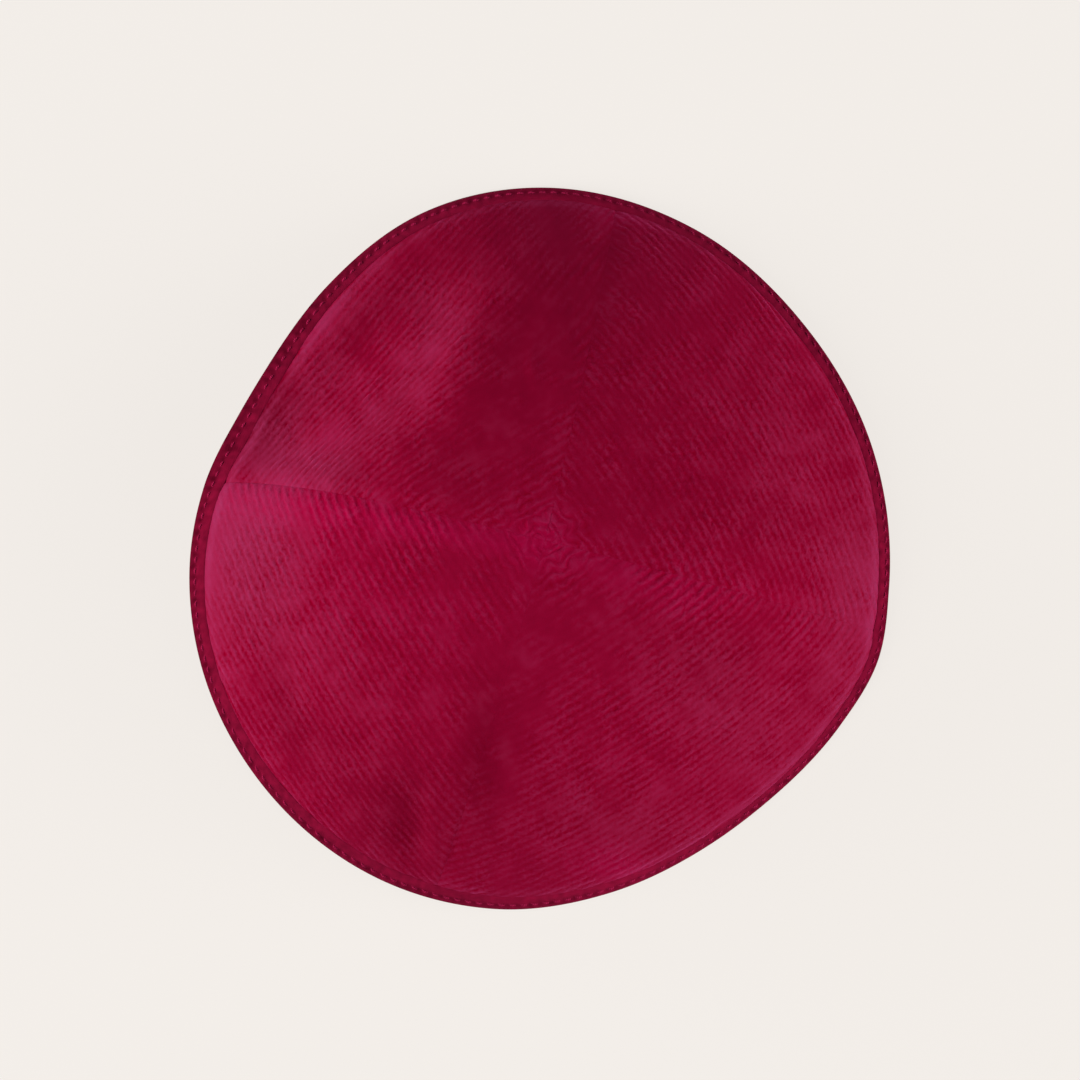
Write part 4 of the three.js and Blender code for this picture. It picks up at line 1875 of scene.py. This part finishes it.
    def cut_size(self) -> tuple[float, float, float]:
        """The gore laid flat, with an allowance along both seams and at its tip.

        Returns:
            Its width along the rim, its length from tip to rim, and its area.
        """
        start, width = self.gore.span(np.ones(1))
        azimuth = start + width * np.linspace(0.0, 1.0, self.columns + 1)
        rim, turn = FORM.rim_radius(azimuth), math.radians(float(width[0]))
        around = float(rim.mean()) * turn + 2 * self.allowance
        length = float(FORM.meridian_length(azimuth).mean()) - self.hem + self.allowance
        dome = (1 - math.cos(FORM.rim_slope)) / math.sin(FORM.rim_slope) ** 2
        area = dome * float((rim * rim).mean()) * turn + 2 * self.allowance * length
        return around, length, area

    def dress(self, right: bpy.types.Material, wrong: bpy.types.Material) -> bpy.types.Object:
        """Shows the gore in its cloth, in place of its plain solid.

        Args:
            right: The cloth's right side.
            wrong: Its wrong side.

        Returns:
            The gore.
        """
        piece = show(self.build(), [right, wrong])
        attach(piece, "root")
        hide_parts(f"panel_{self.gore.name}")
        width, length, area = self.cut_size()
        log.info("%s cut: %.1f x %.1f mm, %.0f mm2", piece.name, width / MM, length / MM, area / MM**2)
        return piece


@dataclass(frozen=True)
class PhotoView:
    """A camera straight above the cap, framed as the picture is."""

    frame_width: float = 257.7 * MM
    centre_x: float = 0.0 * MM
    centre_y: float = 2.0 * MM
    height: float = 2.0
    sensor: float = 36.0
    far: float = 10.0

    def build(self) -> bpy.types.Object:
        """Makes the camera, looking straight down with +Y at the top.

        Returns:
            The camera.
        """
        data = bpy.data.cameras.new("camera_above")
        data.sensor_width = self.sensor
        data.lens = self.sensor * self.height / self.frame_width
        data.clip_end = self.far
        camera = bpy.data.objects.new("camera_above", data)
        camera.location = (self.centre_x, self.centre_y, self.height)
        bpy.context.scene.collection.objects.link(camera)
        bpy.context.scene.camera = camera
        return camera


@dataclass(frozen=True)
class Softbox:
    """A square diffused studio lamp, aimed at the cap."""

    name: str
    azimuth: float
    elevation: float
    watts: float
    size: float = 0.7
    distance: float = 1.6

    def build(self) -> None:
        """Hangs the lamp."""
        data = bpy.data.lights.new(self.name, "AREA")
        data.shape = "SQUARE"
        data.size = self.size
        data.energy = self.watts
        lamp = bpy.data.objects.new(self.name, data)
        azimuth, elevation = math.radians(self.azimuth), math.radians(self.elevation)
        flat = math.cos(elevation)
        towards = Vector((flat * math.cos(azimuth), flat * math.sin(azimuth), math.sin(elevation)))
        lamp.location = towards * self.distance
        lamp.rotation_mode = "QUATERNION"
        lamp.rotation_quaternion = towards.to_track_quat("Z", "Y")
        bpy.context.scene.collection.objects.link(lamp)


@dataclass(frozen=True)
class Studio:
    """A pale floor that glows evenly, soft lamps and an unlit surround."""

    floor_radius: float = 6.0
    floor_corners: int = 96
    floor_colour: str = "#F2EDE8"
    floor_paint: str = "#4A4846"
    floor_roughness: float = 0.9
    floor_gloss: float = 0.1
    floor_glow: float = 0.9
    surround: float = 0.0
    lamps: tuple[Softbox, ...] = (
        Softbox("softbox_left_back", 150, 10, 18.0),
        Softbox("softbox_left_low", 185, 11, 23.0),
        Softbox("softbox_left_high", 208, 45, 18.5),
        Softbox("softbox_right_low", 0, 16, 29.5),
        Softbox("softbox_right_front", 330, 27, 14.0),
    )

    def build(self) -> None:
        """Sets up the floor, the surround and the lamps."""
        scene = bpy.context.scene
        scene.view_settings.view_transform = "Standard"
        world = bpy.data.worlds.new("surround")
        world.use_nodes = True
        world.node_tree.nodes.clear()
        glow = add_node(
            world.node_tree,
            "ShaderNodeBackground",
            {"Color": linear(self.floor_colour), "Strength": self.surround},
        )
        add_node(world.node_tree, "ShaderNodeOutputWorld", {"Surface": glow.outputs["Background"]})
        scene.world = world
        for lamp in self.lamps:
            lamp.build()
        self._floor()

    def _floor(self) -> None:
        """Lays the floor, a wide plain disc."""
        turns = np.linspace(0, math.tau, self.floor_corners, endpoint=False)
        points = np.stack([np.cos(turns), np.sin(turns), np.zeros_like(turns)], axis=-1)
        mesh = bpy.data.meshes.new("floor")
        mesh.from_pydata((points * self.floor_radius).tolist(), [], [tuple(range(len(points)))])
        made, tree = new_material("pale_floor")
        shader = add_node(
            tree,
            "ShaderNodeBsdfPrincipled",
            {
                "Base Color": linear(self.floor_paint),
                "Roughness": self.floor_roughness,
                "Specular IOR Level": self.floor_gloss,
                "Emission Color": linear(self.floor_colour),
                "Emission Strength": self.floor_glow,
            },
        )
        finish_surface(tree, shader.outputs["BSDF"])
        show(mesh, [made])


def main() -> None:
    """Builds the cap, the camera and the studio."""
    PhotoView().build()
    Studio().build()
    binding = Binding()
    cloth = RibbedPile()
    right, wrong = cloth.material(), ClothBack().material()
    pieces = [GorePanel(gore, binding, cloth).dress(right, wrong) for gore in GORES]
    pieces += binding.dress(BindingTwill().material(), SewingThread().material())
    for piece in pieces:
        log.info("%s: %d faces", piece.name, len(piece.data.polygons))


if __name__ == "__main__":
    main()
